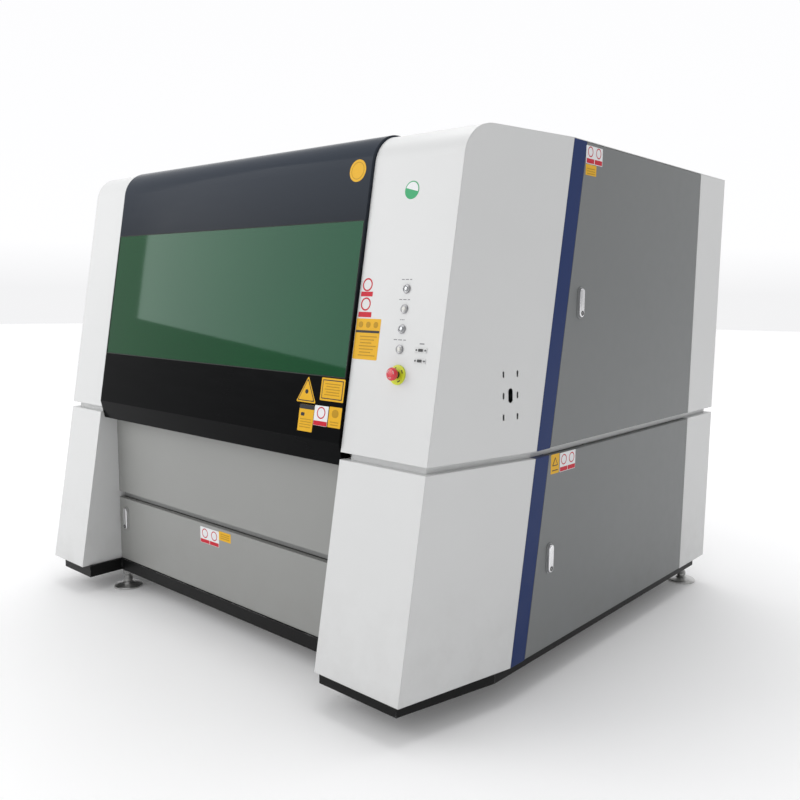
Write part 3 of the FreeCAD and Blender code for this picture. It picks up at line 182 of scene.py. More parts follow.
class Finish:
    """One node-based material round a Principled shader."""

    def __init__(self, name, **constants):
        self.material = bpy.data.materials.new(name)
        self.material.use_nodes = True
        self.tree = self.material.node_tree
        self.shader = self.tree.nodes["Principled BSDF"]
        for key, value in constants.items():
            self.shader.inputs[key.replace("_", " ")].default_value = value
        self.place = self.node("ShaderNodeTexCoord", {}, {}, "Object")

    def node(self, kind, settings, inputs, output=0):
        """A node of that kind with its settings, then its sockets' values or links; returns one output."""
        node = self.tree.nodes.new(kind)
        for key, value in settings.items():
            setattr(node, key, value)
        for key, value in inputs.items():
            if isinstance(value, Value):
                self.tree.links.new(value.socket, node.inputs[key])
            elif isinstance(value, tuple) and len(value) < len(node.inputs[key].default_value):
                node.inputs[key].default_value = value + (1.0,)
            else:
                node.inputs[key].default_value = value
        return Value(self, node.outputs[output])

    def noise(self, scale, detail=2.0, roughness=0.5, stretch=None):
        """Fractal noise from 0 to 1; stretch multiplies the three coordinates."""
        place = self.place
        if stretch is not None:
            place = self.node("ShaderNodeVectorMath", {"operation": "MULTIPLY"}, {0: place, 1: stretch})
        inputs = {"Vector": place, "Scale": scale, "Detail": detail, "Roughness": roughness}
        return self.node("ShaderNodeTexNoise", {}, inputs, "Fac")

    def cells(self, scale, output):
        """Voronoi cells: the distance from each cell's centre, or a colour for each cell."""
        inputs = {"Vector": self.place, "Scale": scale}
        return self.node("ShaderNodeTexVoronoi", {"feature": "F1"}, inputs, output)

    def axis(self, index):
        """One coordinate: 0 across, 1 to the rear or 2 up."""
        return self.node("ShaderNodeSeparateXYZ", {}, {0: self.place}, index)

    def mix(self, amount, first, second):
        """Colour mix; either colour may be a value or a constant."""
        return self.node("ShaderNodeMix", {"data_type": "RGBA"}, {0: amount, 6: first, 7: second}, 2)

    def step(self, value, low, high):
        """0 below low and 1 above high, straight in between."""
        inputs = {"Value": value, "From Min": low, "From Max": high}
        return self.node("ShaderNodeMapRange", {"clamp": True}, inputs)

    def rounding(self, radius):
        """A normal that rounds the edges by that radius."""
        return self.node("ShaderNodeBevel", {"samples": 4}, {"Radius": radius})

    def worn_edge(self, rounded):
        """A mask that is 1 where the rounded normal leaves the face's own, which is along the edges."""
        own = self.node("ShaderNodeNewGeometry", {}, {}, "True Normal")
        along = self.node("ShaderNodeVectorMath", {"operation": "DOT_PRODUCT"}, {0: rounded, 1: own}, "Value")
        return self.step(1.0 - along, 0.02, 0.16)

    def bump(self, height, distance, strength=1.0, normal=None):
        """The normal of a height field, on top of another normal if one is given."""
        inputs = {"Height": height, "Distance": distance, "Strength": strength}
        if normal is not None:
            inputs["Normal"] = normal
        return self.node("ShaderNodeBump", {}, inputs)

    def wear(self, tone, gloss, normal=None, **others):
        """Links the colour, the roughness and what else varies over the surface into the shader."""
        links = {"Base Color": tone, "Roughness": gloss, **others}
        if normal is not None:
            links["Normal"] = normal
        for key, value in links.items():
            self.tree.links.new(value.socket, self.shader.inputs[key.replace("_", " ")])
        return self.material


def scaled(colour, factor):
    """A colour times a factor, up to white."""
    return tuple(min(1.0, c * factor) for c in colour)


def powder_coat(name, colour, roughness=0.36, peel=0.00012, soil=0.5, radius=0.0022, shine=0.40):
    """Smooth powder coat: fine orange peel, faint cloudiness, dust low down and slightly thin edges."""
    f = Finish(name, Specular_IOR_Level=shine)
    cloud = f.noise(1.6, 3.0)
    peel_noise = f.noise(420.0, 2.0)
    ripple = f.noise(55.0, 1.0)
    dust = f.noise(9.0, 6.0, 0.65)
    low = 1.0 - f.step(f.axis(2), 0.05, 0.50)
    grime = (low * f.step(dust, 0.42, 0.75) * soil).clamp()
    rounded = f.rounding(radius)
    edge = f.worn_edge(rounded)
    tone = f.mix(cloud, scaled(colour, 0.965), scaled(colour, 1.035))
    tone = f.mix(edge * 0.35, tone, scaled(colour, 1.18))
    tone = f.mix(grime * 0.30, tone, (0.22, 0.20, 0.17))
    gloss = roughness + (f.noise(23.0, 4.0) - 0.5) * 0.10 + grime * 0.20
    height = peel_noise * 0.6 + ripple * 0.4
    return f.wear(tone, gloss, f.bump(height, peel, 0.5, rounded))


def gloss_enamel(name, colour, upper, roughness=0.11, radius=0.003):
    """Black gloss enamel with long soft ripples, faint wiping streaks and fine dust; it turns to the upper
    colour with height, which is a painted reflection.
    """
    f = Finish(name, Specular_IOR_Level=0.035)
    ripple = f.noise(14.0, 2.0)
    wipe = f.noise(6.0, 5.0, 0.6, stretch=(1.0, 6.0, 6.0))
    specks = f.noise(900.0, 2.0)
    rounded = f.rounding(radius)
    edge = f.worn_edge(rounded)
    tone = f.mix(wipe, scaled(colour, 0.8), scaled(colour, 1.25))
    # Painted reflection: from 1.20 m to 1.78 m up the colour turns to upper, the lighter tone that the gloss
    # shows near the top.
    tone = f.mix(f.step(f.axis(2), 1.20, 1.78), tone, upper)
    tone = f.mix(f.step(specks, 0.72, 0.82) * 0.04, tone, (0.20, 0.20, 0.21))
    tone = f.mix(edge * 0.30, tone, scaled(colour, 4.0))
    gloss = roughness + f.step(wipe, 0.3, 0.8) * 0.12 + f.step(specks, 0.7, 0.8) * 0.2
    return f.wear(tone, gloss, f.bump(ripple, 0.0006, 0.25, rounded))


def tinted_pane(name, colour):
    """Green laser-safe acrylic: clear gloss, slow colour change and faint hairlines."""
    f = Finish(name, Specular_IOR_Level=0.27, Specular_Tint=(0.5, 1.0, 0.85, 1.0), IOR=1.49)
    slow = f.noise(1.1, 2.0)
    hair = f.noise(60.0, 4.0, 0.7, stretch=(1.0, 14.0, 14.0))
    waves = f.noise(3.5, 1.0)
    tone = f.mix(slow, scaled(colour, 0.75), scaled(colour, 1.3))
    gloss = 0.035 + f.step(hair, 0.66, 0.84) * 0.025
    cover = 0.93 + slow * 0.04
    return f.wear(tone, gloss, f.bump(waves, 0.0006, 0.15), Alpha=cover)


def enamelled_steel(name, colour, roughness=0.46, shine=0.4):
    """Sprayed machine enamel on welded tube: heavier peel, drips of tone and scuffed edges."""
    f = Finish(name, Specular_IOR_Level=shine)
    rounded = f.rounding(0.003)
    edge = f.worn_edge(rounded)
    scuff = f.noise(35.0, 6.0, 0.7)
    tone = f.mix(f.noise(4.0, 4.0), scaled(colour, 0.85), scaled(colour, 1.12))
    worn = (edge * f.step(scuff, 0.45, 0.6)).clamp()
    tone = f.mix(worn * 0.7, tone, (0.42, 0.42, 0.42))
    gloss = roughness + (scuff - 0.5) * 0.25
    return f.wear(tone, gloss, f.bump(f.noise(160.0, 3.0), 0.0003, 0.5, rounded))


def galvanised(name, colour):
    """Zinc-coated sheet: angular spangle, rolled streaks and grey bloom."""
    f = Finish(name, Metallic=0.9)
    spangle = f.node("ShaderNodeSeparateColor", {}, {0: f.cells(55.0, "Color")})
    bloom = f.noise(5.0, 5.0, 0.6)
    tone = f.mix(spangle * 0.6 + bloom * 0.4, scaled(colour, 0.72), scaled(colour, 1.12))
    gloss = 0.34 + spangle * 0.16 + bloom * 0.12
    height = f.noise(240.0, 3.0) * 0.5 + spangle * 0.5
    return f.wear(tone, gloss, f.bump(height, 0.0002, 0.3, f.rounding(0.001)))


def bar_steel(name, colour, metallic=0.75):
    """Hot-rolled bar: scale patches, heat tint at the top edges, spatter and rust freckles."""
    f = Finish(name, Metallic=metallic)
    scale = f.noise(26.0, 6.0, 0.7)
    rust = f.step(f.noise(70.0, 6.0, 0.75), 0.60, 0.72)
    spatter = 1.0 - f.step(f.cells(180.0, "Distance"), 0.10, 0.22)
    heat = f.step(f.axis(2), 0.815, 0.852)
    tone = f.mix(scale, scaled(colour, 0.55), scaled(colour, 1.35))
    tone = f.mix(heat * 0.45, tone, (0.16, 0.13, 0.17))
    tone = f.mix(rust * 0.55, tone, (0.16, 0.065, 0.03))
    tone = f.mix(spatter * heat * 0.8, tone, (0.05, 0.048, 0.045))
    gloss = 0.42 + scale * 0.30 + rust * 0.15
    return f.wear(tone, gloss, f.bump(scale + spatter * 0.8, 0.0006, 0.5))


def plated(name, colour, roughness=0.14, radius=0.0012):
    """Bright plating: faint polishing lines, finger smudges and soft edges."""
    f = Finish(name, Metallic=1.0)
    lines = f.noise(300.0, 2.0, 0.5, stretch=(1.0, 1.0, 0.05))
    smudge = f.step(f.noise(38.0, 4.0, 0.6), 0.45, 0.75)
    tone = f.mix(smudge * 0.5, colour, scaled(colour, 0.82))
    gloss = roughness + smudge * 0.14 + lines * 0.05
    return f.wear(tone, gloss, f.bump(lines, 0.00005, 0.3, f.rounding(radius)))


def threaded_zinc(name, colour, pitch=0.003):
    """Zinc-plated foot: turned rings on the disc and a thread on the stud, both from height and radius."""
    f = Finish(name, Metallic=0.92)
    height = f.axis(2)
    stud = f.step(height, 0.030, 0.034)
    thread = (height * (2 * math.pi / pitch)).sine()
    brushed = f.noise(90.0, 4.0, 0.6, stretch=(1.0, 1.0, 4.0))
    stain = f.step(f.noise(30.0, 5.0, 0.7), 0.55, 0.75)
    tone = f.mix(brushed, scaled(colour, 0.72), scaled(colour, 1.15))
    tone = f.mix(stain * 0.35, tone, (0.20, 0.17, 0.13))
    gloss = 0.26 + brushed * 0.20 + stain * 0.2
    return f.wear(tone, gloss, f.bump(thread * stud, 0.0008, 0.8, f.rounding(0.0015)))


def ground_steel(name, colour):
    """Ground guide rail: fine lines along its length and an oil film."""
    f = Finish(name, Metallic=1.0)
    lines = f.noise(60.0, 3.0, 0.6, stretch=(12.0, 0.4, 12.0))
    oil = f.noise(7.0, 3.0)
    tone = f.mix(lines, scaled(colour, 0.8), scaled(colour, 1.1))
    return f.wear(tone, 0.16 + lines * 0.14 + oil * 0.08, f.bump(lines, 0.0001, 0.4))


def anodised(name, colour):
    """Bead-blasted and anodised aluminium: fine grain, faint extrusion lines, bright edges."""
    f = Finish(name, Metallic=0.85)
    rounded = f.rounding(0.002)
    grain = f.noise(700.0, 2.0)
    lines = f.noise(30.0, 3.0, 0.6, stretch=(0.3, 10.0, 10.0))
    tone = f.mix(lines, scaled(colour, 0.88), scaled(colour, 1.06))
    tone = f.mix(f.worn_edge(rounded) * 0.4, tone, scaled(colour, 1.3))
    return f.wear(tone, 0.34 + grain * 0.10, f.bump(grain, 0.0001, 0.4, rounded))


def moulded(name, colour, roughness=0.42, texture=0.00015, gloss_coat=0.0):
    """Moulded plastic: spark-eroded texture, slight tone drift and handled sheen."""
    f = Finish(name, Coat_Weight=gloss_coat, Coat_Roughness=0.08)
    grain = f.noise(1100.0, 2.0)
    handled = f.noise(60.0, 4.0, 0.6)
    tone = f.mix(handled, scaled(colour, 0.88), scaled(colour, 1.12))
    gloss = roughness + (handled - 0.5) * 0.14
    return f.wear(tone, gloss, f.bump(grain, texture, 0.5, f.rounding(0.0008)))


def printed_film(name, colour):
    """Vinyl label: laminate gloss, a trace of paper tooth and uneven ink."""
    f = Finish(name, Specular_IOR_Level=0.12, Coat_Weight=0.12, Coat_Roughness=0.12)
    ink = f.noise(140.0, 4.0, 0.6)
    tooth = f.noise(1500.0, 2.0)
    tone = f.mix(ink, scaled(colour, 0.92), scaled(colour, 1.06))
    return f.wear(tone, 0.34 + ink * 0.10, f.bump(tooth, 0.00004, 0.4))


def soft_rubber(name, colour=(0.012, 0.012, 0.012)):
    """Extruded rubber: matt skin, bloom and lengthwise lines."""
    f = Finish(name)
    bloom = f.noise(18.0, 5.0, 0.6)
    tone = f.mix(bloom, scaled(colour, 0.8), scaled(colour, 2.2))
    return f.wear(tone, 0.62 + bloom * 0.2, f.bump(f.noise(500.0, 2.0), 0.0002, 0.5))


def woven_mesh(name):
    """Filter mesh behind the vents: a fine square weave from two sines."""
    f = Finish(name, Metallic=0.4)
    across = (f.axis(0) * 1800.0).sine()
    up = (f.axis(2) * 1800.0).sine()
    weave = f.step(across * up, -0.2, 0.6)
    tone = f.mix(weave, (0.01, 0.01, 0.01), (0.12, 0.12, 0.12))
    return f.wear(tone, 0.5 + weave * 0.2, f.bump(weave, 0.0004, 0.6))


def seamless_floor(name):
    """Pale studio floor with a trace of mottling; a painted glow in its emission grows stronger away from the
    machine.
    """
    f = Finish(name, Emission_Strength=1.0)
    mottle = f.noise(2.0, 4.0)
    reach = f.node("ShaderNodeVectorMath", {"operation": "LENGTH"}, {0: f.place}, "Value")
    # Painted glow: the floor's emission rises from 0.07 within 1.4 m of the centre to 0.36 beyond 5.5 m,
    # brightening the far floor.
    painted_glow = f.mix(f.step(reach, 1.4, 5.5), (0.07, 0.07, 0.07), (0.36, 0.36, 0.36))
    tone = f.mix(mottle, (0.93, 0.93, 0.932), (0.955, 0.955, 0.957))
    return f.wear(tone, 0.75 + mottle * 0.1, Emission_Color=painted_glow)


def dress(material, *names):
    """Puts one finish on CAD nodes."""
    for name in names:
        mesh = NODES[name].data
        mesh.materials.clear()
        mesh.materials.append(material)


# ---- shapes ----
# A place is an origin with three axes: right, up and out of the face.

ACROSS, DEEP, UP = np.eye(3)


def unit(v):
    """The vector divided by its length."""
    v = np.asarray(v, float)
    return v / np.linalg.norm(v)


def columns_toe():
    """Depth of the columns' foremost line, at the height of their bottom edge."""
    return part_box("column_cover_lower_right")[0].y


def lean_frame(x, z, sizes, proud=0.0):
    """Origin and axes (across, up, out) on the leaning front at x and z, moved out by proud."""
    out = unit((0.0, -1.0, sizes.lean))
    origin = np.array([x, columns_toe() + sizes.lean * (z - sizes.skirt), z]) + out * proud
    return origin, ACROSS, np.cross(out, ACROSS), out


def side_frame(x, y, z, sign=1.0):
    """Origin and axes on an upright side face; sign is +1 on the right and -1 on the left."""
    return np.array([x, y, z]), sign * DEEP, UP, sign * ACROSS


def facing_front(x, y, z):
    """Origin and axes on an upright face that looks forward."""
    return np.array([x, y, z]), ACROSS, UP, -DEEP


def facing_rear(x, y, z):
    """Origin and axes on an upright face that looks to the rear."""
    return np.array([x, y, z]), -ACROSS, UP, DEEP


def level_frame(x, y, z):
    """Origin and axes on a level face that looks up."""
    return np.array([x, y, z]), ACROSS, DEEP, UP


def moved(place, right=0.0, up=0.0, out=0.0):
    """The same axes from an origin moved along them."""
    origin, u, v, n = place
    return origin + u * right + v * up + n * out, u, v, n


def placed(points, place):
    """Local (right, up, out) points carried to a place's frame."""
    origin, u, v, n = place
    return origin + points[..., 0:1] * u + points[..., 1:2] * v + points[..., 2:3] * n


def sheet_faces(rows, columns, wrap_rows=False, wrap_columns=True):
    """Quads between neighbours of a grid of rows x columns points."""
    i = np.arange(rows if wrap_rows else rows - 1)[:, None]
    j = np.arange(columns if wrap_columns else columns - 1)[None, :]
    a = i * columns + j
    b = i * columns + (j + 1) % columns
    c = ((i + 1) % rows) * columns + (j + 1) % columns
    d = ((i + 1) % rows) * columns + j
    return np.stack(np.broadcast_arrays(a, b, c, d), -1).reshape(-1, 4)


def rings(sections, place):
    """A solid from closed outlines stacked outwards, shape (rows, columns, 3), with flat end caps."""
    sections = np.asarray(sections)
    rows, columns = sections.shape[:2]
    quads = sheet_faces(rows, columns)
    first = np.arange(columns)[::-1]
    last = np.arange(columns) + (rows - 1) * columns
    return placed(sections, place).reshape(-1, 3), quads.tolist() + [first.tolist(), last.tolist()]


def rounded_outline(corners, radius, steps=6):
    """Closed outline of a convex polygon, anticlockwise, each corner an arc of that radius.

    Each arc's centre lies on the corner's bisector at radius / sin(half angle), and the arc sweeps between
    the normals of the corner's two sides."""
    p = np.asarray(corners, float)
    before = p - np.roll(p, 1, axis=0)
    after = np.roll(p, -1, axis=0) - p
    before /= np.linalg.norm(before, axis=1)[:, None]
    after /= np.linalg.norm(after, axis=1)[:, None]
    inward = after - before
    half = np.arccos(np.clip((-before * after).sum(1), -1, 1)) / 2
    centre = p + inward / np.linalg.norm(inward, axis=1)[:, None] * (radius / np.sin(half))[:, None]
    start = np.arctan2(-before[:, 0], before[:, 1])
    sweep = math.pi - 2 * half
    angle = start[:, None] + sweep[:, None] * np.linspace(0, 1, steps)[None, :]
    arc = np.stack([np.cos(angle), np.sin(angle)], -1) * radius
    return (centre[:, None, :] + arc).reshape(-1, 2)


def slab(outline, place, low, high, edge):
    """A plate on an outline: its wall rises from low and turns in by edge at high."""
    middle = outline.mean(0)
    reach = np.linalg.norm(outline - middle, axis=1)[:, None]
    inner = middle + (outline - middle) * (1 - edge / reach)
    rows = [(outline, low), (outline, high - edge), (inner, high)]
    sections = [np.column_stack([o, np.full(len(o), h)]) for o, h in rows]
    return rings(sections, place)


def tile(place, width, height, film, radius=0.002, lift=0.0):
    """A rounded rectangular label or field of colour."""
    a, b = width / 2, height / 2
    outline = rounded_outline([(-a, -b), (a, -b), (a, b), (-a, b)], min(radius, a * 0.9, b * 0.9), 4)
    return slab(outline, place, lift, lift + film, film * 0.4)


def disc(place, radius, film, lift=0.0, columns=48):
    """A round label: the outline is the cosine and sine of an angle, times the radius."""
    return slab(round_section(radius, columns), place, lift, lift + film, film * 0.4)


def turned(place, profile, columns=48, closed=False):
    """A profile of (radius, height) points turned about the outward axis; closed joins its ends."""
    r, h = np.asarray(profile, float).T
    angle = np.linspace(0, 2 * math.pi, columns, endpoint=False)
    height = np.broadcast_to(h[:, None], (len(r), columns))
    points = np.stack([r[:, None] * np.cos(angle), r[:, None] * np.sin(angle), height], -1)
    if closed:
        return placed(points, place).reshape(-1, 3), sheet_faces(len(r), columns, wrap_rows=True).tolist()
    return rings(points, place)


def hoop(place, radius, thickness, height, lift=0.0, columns=48, rows=10):
    """A rounded ring: a flattened circle section of that thickness and height carried round the axis."""
    t = np.linspace(0, 2 * math.pi, rows, endpoint=False)
    profile = np.stack([radius + thickness / 2 * np.cos(t), lift + height / 2 * (1 + np.sin(t))], -1)
    return turned(place, profile, columns, closed=True)


def dome(place, radius, height, lift=0.0, columns=40, rows=8):
    """A spherical cap: radius falls as the cosine and height rises as the sine of one angle."""
    t = np.linspace(0, math.pi / 2 * 0.97, rows)
    profile = [(radius, lift - 0.0004)] + list(zip(radius * np.cos(t), lift + height * np.sin(t)))
    return turned(place, profile, columns)


def stadium(width, length, steps=10):
    """Upright outline with round ends, centred on its lower round's centre."""
    r = width / 2
    angle = np.linspace(0, math.pi, steps)
    top = np.stack([r * np.cos(angle), r * np.sin(angle) + length - width], -1)
    bottom = np.stack([r * np.cos(angle + math.pi), r * np.sin(angle + math.pi)], -1)
    return np.concatenate([top, bottom])


def pillow(outline, place, low, high, rounding, rows=6):
    """A plate with a rolled top edge: the outline shrinks with 1 - cosine as it rises with the sine."""
    nearest = np.clip(outline, [[0, 0]], [[0, outline[:, 1].max() - outline[:, 0].max()]])
    away = outline - nearest
    away /= np.linalg.norm(away, axis=1)[:, None]
    t = np.linspace(0, math.pi / 2, rows)
    sections = [np.column_stack([outline, np.full(len(outline), low)])]
    for shrink, rise in zip(rounding * (1 - np.cos(t)), high - rounding + rounding * np.sin(t)):
        sections.append(np.column_stack([outline - away * shrink, np.full(len(outline), rise)]))
    return rings(sections, place)


def sweep(path, section, closed=False):
    """A closed section of (side, up) offsets carried along a path of points; side is across the path and the
    mean up direction is kept from the path's plane normal."""
    path = np.asarray(path, float)
    if closed:
        tangent = np.roll(path, -1, axis=0) - np.roll(path, 1, axis=0)
    else:
        tangent = np.gradient(path, axis=0)
    tangent /= np.linalg.norm(tangent, axis=1)[:, None]
    plane = np.linalg.svd(path - path.mean(0))[2][2]
    side = np.cross(tangent, plane)
    side /= np.linalg.norm(side, axis=1)[:, None]
    s = np.asarray(section, float)
    points = path[:, None, :] + s[None, :, 0:1] * side[:, None, :] + s[None, :, 1:2] * plane
    faces = sheet_faces(len(path), len(s), wrap_rows=closed).tolist()
    if not closed:
        first = np.arange(len(s))[::-1]
        faces += [first.tolist(), (np.arange(len(s)) + (len(path) - 1) * len(s)).tolist()]
    return points.reshape(-1, 3), faces


def round_section(radius, count=10):
    """A circle of points: the cosine and sine of an angle, times the radius."""
    t = np.linspace(0, 2 * math.pi, count, endpoint=False)
    return np.stack([np.cos(t), np.sin(t)], -1) * radius


def block(low, high, edge=0.0015):
    """A box with its upright edges rounded."""
    low, high = np.asarray(low, float), np.asarray(high, float)
    size = high - low
    place = level_frame((low[0] + high[0]) / 2, (low[1] + high[1]) / 2, low[2])
    a, b = size[0] / 2, size[1] / 2
    outline = rounded_outline([(-a, -b), (a, -b), (a, b), (-a, b)], min(edge * 2, a, b), 4)
    return slab(outline, place, 0.0, size[2], edge)


def piece(name, parts, material, body, angle=35.0):
    """One object from several (points, faces) parts, riding on a body, in a material slot if it has one."""
    offsets = np.cumsum([0] + [len(points) for points, _ in parts])
    points = np.concatenate([points for points, _ in parts])
    faces = [[i + o for i in face] for (_, part), o in zip(parts, offsets) for face in part]
    mesh = bpy.data.meshes.new(name)
    mesh.from_pydata(points.tolist(), [], faces)
    mesh.validate()
    mesh.polygons.foreach_set("use_smooth", np.ones(len(mesh.polygons), bool))
    mesh.set_sharp_from_angle(angle=math.radians(angle))
    mesh.materials.append(material)
    mesh.update()
    obj = bpy.data.objects.new(name, mesh)
    bpy.context.scene.collection.objects.link(obj)
    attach(obj, body)
    return obj


# ---- operators ----

class CutterOperator:
    """Shared reach to the machine's settings."""
    bl_options = {"REGISTER", "UNDO"}

    @property
    def colours(self):
        """The finishes' colours as tuples."""
        settings = bpy.context.scene.cutter_colours
        keys = CutterColours.__annotations__
        return SimpleNamespace(**{key: tuple(getattr(settings, key)) for key in keys})

    @property
    def sizes(self):
        """The sizes that fittings and labels use."""
        return bpy.context.scene.cutter_sizes


class CUTTER_OT_covers(CutterOperator, bpy.types.Operator):
    """Powder coat on the columns, corners, roof and waist groove"""
    bl_idname = "cutter.covers"
    bl_label = "Finish covers"

    def execute(self, context):
        white = powder_coat("white_powder_coat", self.colours.cover, radius=0.004)
        dress(white, "column_cover_upper_right", "column_cover_upper_left", "column_cover_lower_right",
              "column_cover_lower_left", "rear_corner_right", "rear_corner_left", "roof_panel", "waist_band")
        return {"FINISHED"}


class CUTTER_OT_panels(CutterOperator, bpy.types.Operator):
    """Grey powder coat on the doors and the front and rear panels, and the blue side bands"""
    bl_idname = "cutter.panels"
    bl_label = "Finish doors and panels"

    def execute(self, context):
        dress(powder_coat("light_grey_coat", self.colours.panel, 0.40), "front_panel", "door_front")
        dress(powder_coat("door_grey_coat", self.colours.door, 0.38), "door_upper_right", "door_upper_left",
              "door_lower_right", "door_lower_left", "door_rear", "rear_panel")
        dress(powder_coat("band_blue_coat", self.colours.band, 0.34, soil=0.2, shine=0.16), "side_bands")
        return {"FINISHED"}


class CUTTER_OT_hood(CutterOperator, bpy.types.Operator):
    """Gloss enamel hood, tinted window, hinges and gas struts"""
    bl_idname = "cutter.hood"
    bl_label = "Finish hood"

    def execute(self, context):
        hood = gloss_enamel("hood_enamel", self.colours.hood, self.colours.hood_top_reflection)
        dress(hood, "hood_shell", "hood_hinge_leaves")
        dress(tinted_pane("laser_safe_pane", self.colours.pane), "hood_window")
        dress(plated("hinge_zinc", (0.55, 0.55, 0.55), 0.3), "hood_hinge_bases", "door_hinge_pins")
        # The tube's second colour is the same painted reflection near the top, barely lighter than the tube
        # here.
        tube = gloss_enamel("strut_enamel", (0.012, 0.012, 0.012), (0.014, 0.014, 0.014), 0.22)
        dress(tube, "strut_cylinder_right", "strut_cylinder_left")
        dress(plated("strut_chrome", self.colours.chrome, 0.08), "strut_rod_right", "strut_rod_left")
        return {"FINISHED"}


class CUTTER_OT_structure(CutterOperator, bpy.types.Operator):
    """Plinth, frames, feet, cutting chamber, table, gantry and services"""
    bl_idname = "cutter.structure"
    bl_label = "Finish structure"

    def execute(self, context):
        c = self.colours
        dress(enamelled_steel("plinth_black", c.base, 0.42, 0.15), "plinth")
        dress(enamelled_steel("frame_enamel", c.structure), "bed_frame", "enclosure_frame", "slat_frame")
        dress(threaded_zinc("foot_zinc", (0.62, 0.62, 0.61)), "foot_front_left", "foot_front_right",
              "foot_rear_left", "foot_rear_right")
        dress(galvanised("chamber_zinc", c.zinc), "chamber_liner", "exhaust_spigot")
        dress(bar_steel("slat_bar", c.bar), "slats")
        dress(bar_steel("tray_sheet", scaled(c.bar, 0.8)), "slag_tray")
        dress(ground_steel("rail_ground", (0.62, 0.62, 0.63)), "y_rails")
        dress(anodised("beam_anodised", (0.60, 0.61, 0.62)), "gantry_beam", "electrical_panel")
        dress(anodised("head_black", (0.045, 0.045, 0.05)), "cutting_head", "carriage")
        dress(powder_coat("source_coat", (0.045, 0.05, 0.06), 0.5, peel=0.0004), "laser_source")
        dress(moulded("gland_nylon", (0.02, 0.02, 0.02)), "cable_gland")
        return {"FINISHED"}


class CUTTER_OT_controls(CutterOperator, bpy.types.Operator):
    """Push buttons, emergency stop and service ports"""
    bl_idname = "cutter.controls"
    bl_label = "Finish and detail controls"

    def execute(self, context):
        c, s = self.colours, self.sizes
        ring = plated("ring_steel", (0.40, 0.40, 0.41), 0.24)
        dress(ring, "button_bezels")
        pale = moulded("button_pale", (0.62, 0.61, 0.56), 0.30, gloss_coat=0.4)
        metal = plated("button_steel", (0.50, 0.51, 0.52), 0.24)
        dark = moulded("button_dark_ring", (0.06, 0.065, 0.07), 0.30)
        red = moulded("stop_mushroom", c.stop, 0.26, gloss_coat=0.5)
        lime = moulded("stop_ring", c.lime, 0.40)
        black = moulded("port_black", (0.025, 0.025, 0.026), 0.45)
        dress(lime, "estop_collar")
        dress(red, "estop_cap")
        dress(black, "estop_stem")
        dress(powder_coat("port_plate_white", c.cover), "service_ports")
        self.ports(s, black)
        rims = []
        for i in range(4):
            place = lean_frame(s.button_x, s.button_low + i * s.button_pitch, s)
            cap = pale if i % 2 == 0 else metal
            dress(cap, "button_%d" % (i + 1))
            rims.append(hoop(place, 0.0117, 0.0026, 0.0022, 0.0030))
            rims.append(turned(place, [(0.0140, 0.0001), (0.0145, 0.0006), (0.0132, 0.0012)]))
            body = "button_%d_body" % (i + 1)
            piece("button_face_%d" % (i + 1), [dome(place, 0.0076, 0.0012, 0.0050)], cap, body)
            halo = dark if i % 2 else metal
            piece("button_halo_%d" % (i + 1), [hoop(place, 0.0064, 0.0020, 0.0012, 0.0050)], halo, body)
        piece("button_rims", rims, ring, "housing")
        self.stop(c, s, red, lime)
        return {"FINISHED"}

    def ports(self, s, black):
        """Square sockets with a raised lip between two dark screw heads."""
        sockets = []
        for z in (1.116, 1.147):
            place = lean_frame(0.958, z, s, 0.0036)
            sockets.append(tile(place, 0.0172, 0.0084, 0.0007, 0.0010))
            for dx in (-0.017, 0.017):
                sockets.append(dome(moved(place, right=dx, out=-0.0008), 0.0030, 0.0009, 0.0, 16, 4))
        piece("port_sockets", sockets, black, "housing")

    def stop(self, c, s, red, lime):
        """Mushroom head with a rolled rim, a turned boss and four plain release marks on the ring."""
        place = lean_frame(s.stop_x, s.stop_z, s)
        t = np.linspace(0, math.pi / 2 * 0.96, 10)
        rim = [(0.0150, 0.0206), (0.0185, 0.0212), (0.0198, 0.0245), (0.0200, 0.0290)]
        crown = list(zip(0.0060 + 0.0138 * np.cos(t), 0.0292 + 0.0066 * np.sin(t)))
        cap = piece("stop_head", [turned(place, rim + crown, 56)], red, "estop_cap_body")
        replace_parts(cap, "estop_cap")
        arcs = []
        for k in range(3):
            angle = np.linspace(0, 0.9, 14) + k * 2 * math.pi / 3
            path = np.stack([0.0125 * np.cos(angle), 0.0125 * np.sin(angle), np.full(14, 0.03545)], -1)
            arcs.append(sweep(placed(path, place), round_section(0.0008, 8)))
        ridge = printed_film("stop_ridge_white", (0.75, 0.72, 0.72))
        piece("stop_arrow_ridges", arcs, ridge, "estop_cap_body")
        edge = [(0.0140, 0.0035), (0.0300, 0.0035), (0.0296, 0.0046), (0.0280, 0.0052), (0.0150, 0.0052)]
        piece("stop_ring_rolled", [turned(place, edge)], lime, "housing")
        marks = []
        for k in range(4):
            a = k * math.pi / 2 + 0.5
            origin, u, v, n = moved(place, 0.0215 * math.cos(a), 0.0215 * math.sin(a), 0.0051)
            tangent = -math.sin(a) * u + math.cos(a) * v
            outward = math.cos(a) * u + math.sin(a) * v
            marks.append(tile((origin, tangent, -outward, n), 0.011, 0.0035, 0.0003, 0.001))
        piece("stop_ring_marks", marks, printed_film("stop_mark_ink", c.ink), "housing")


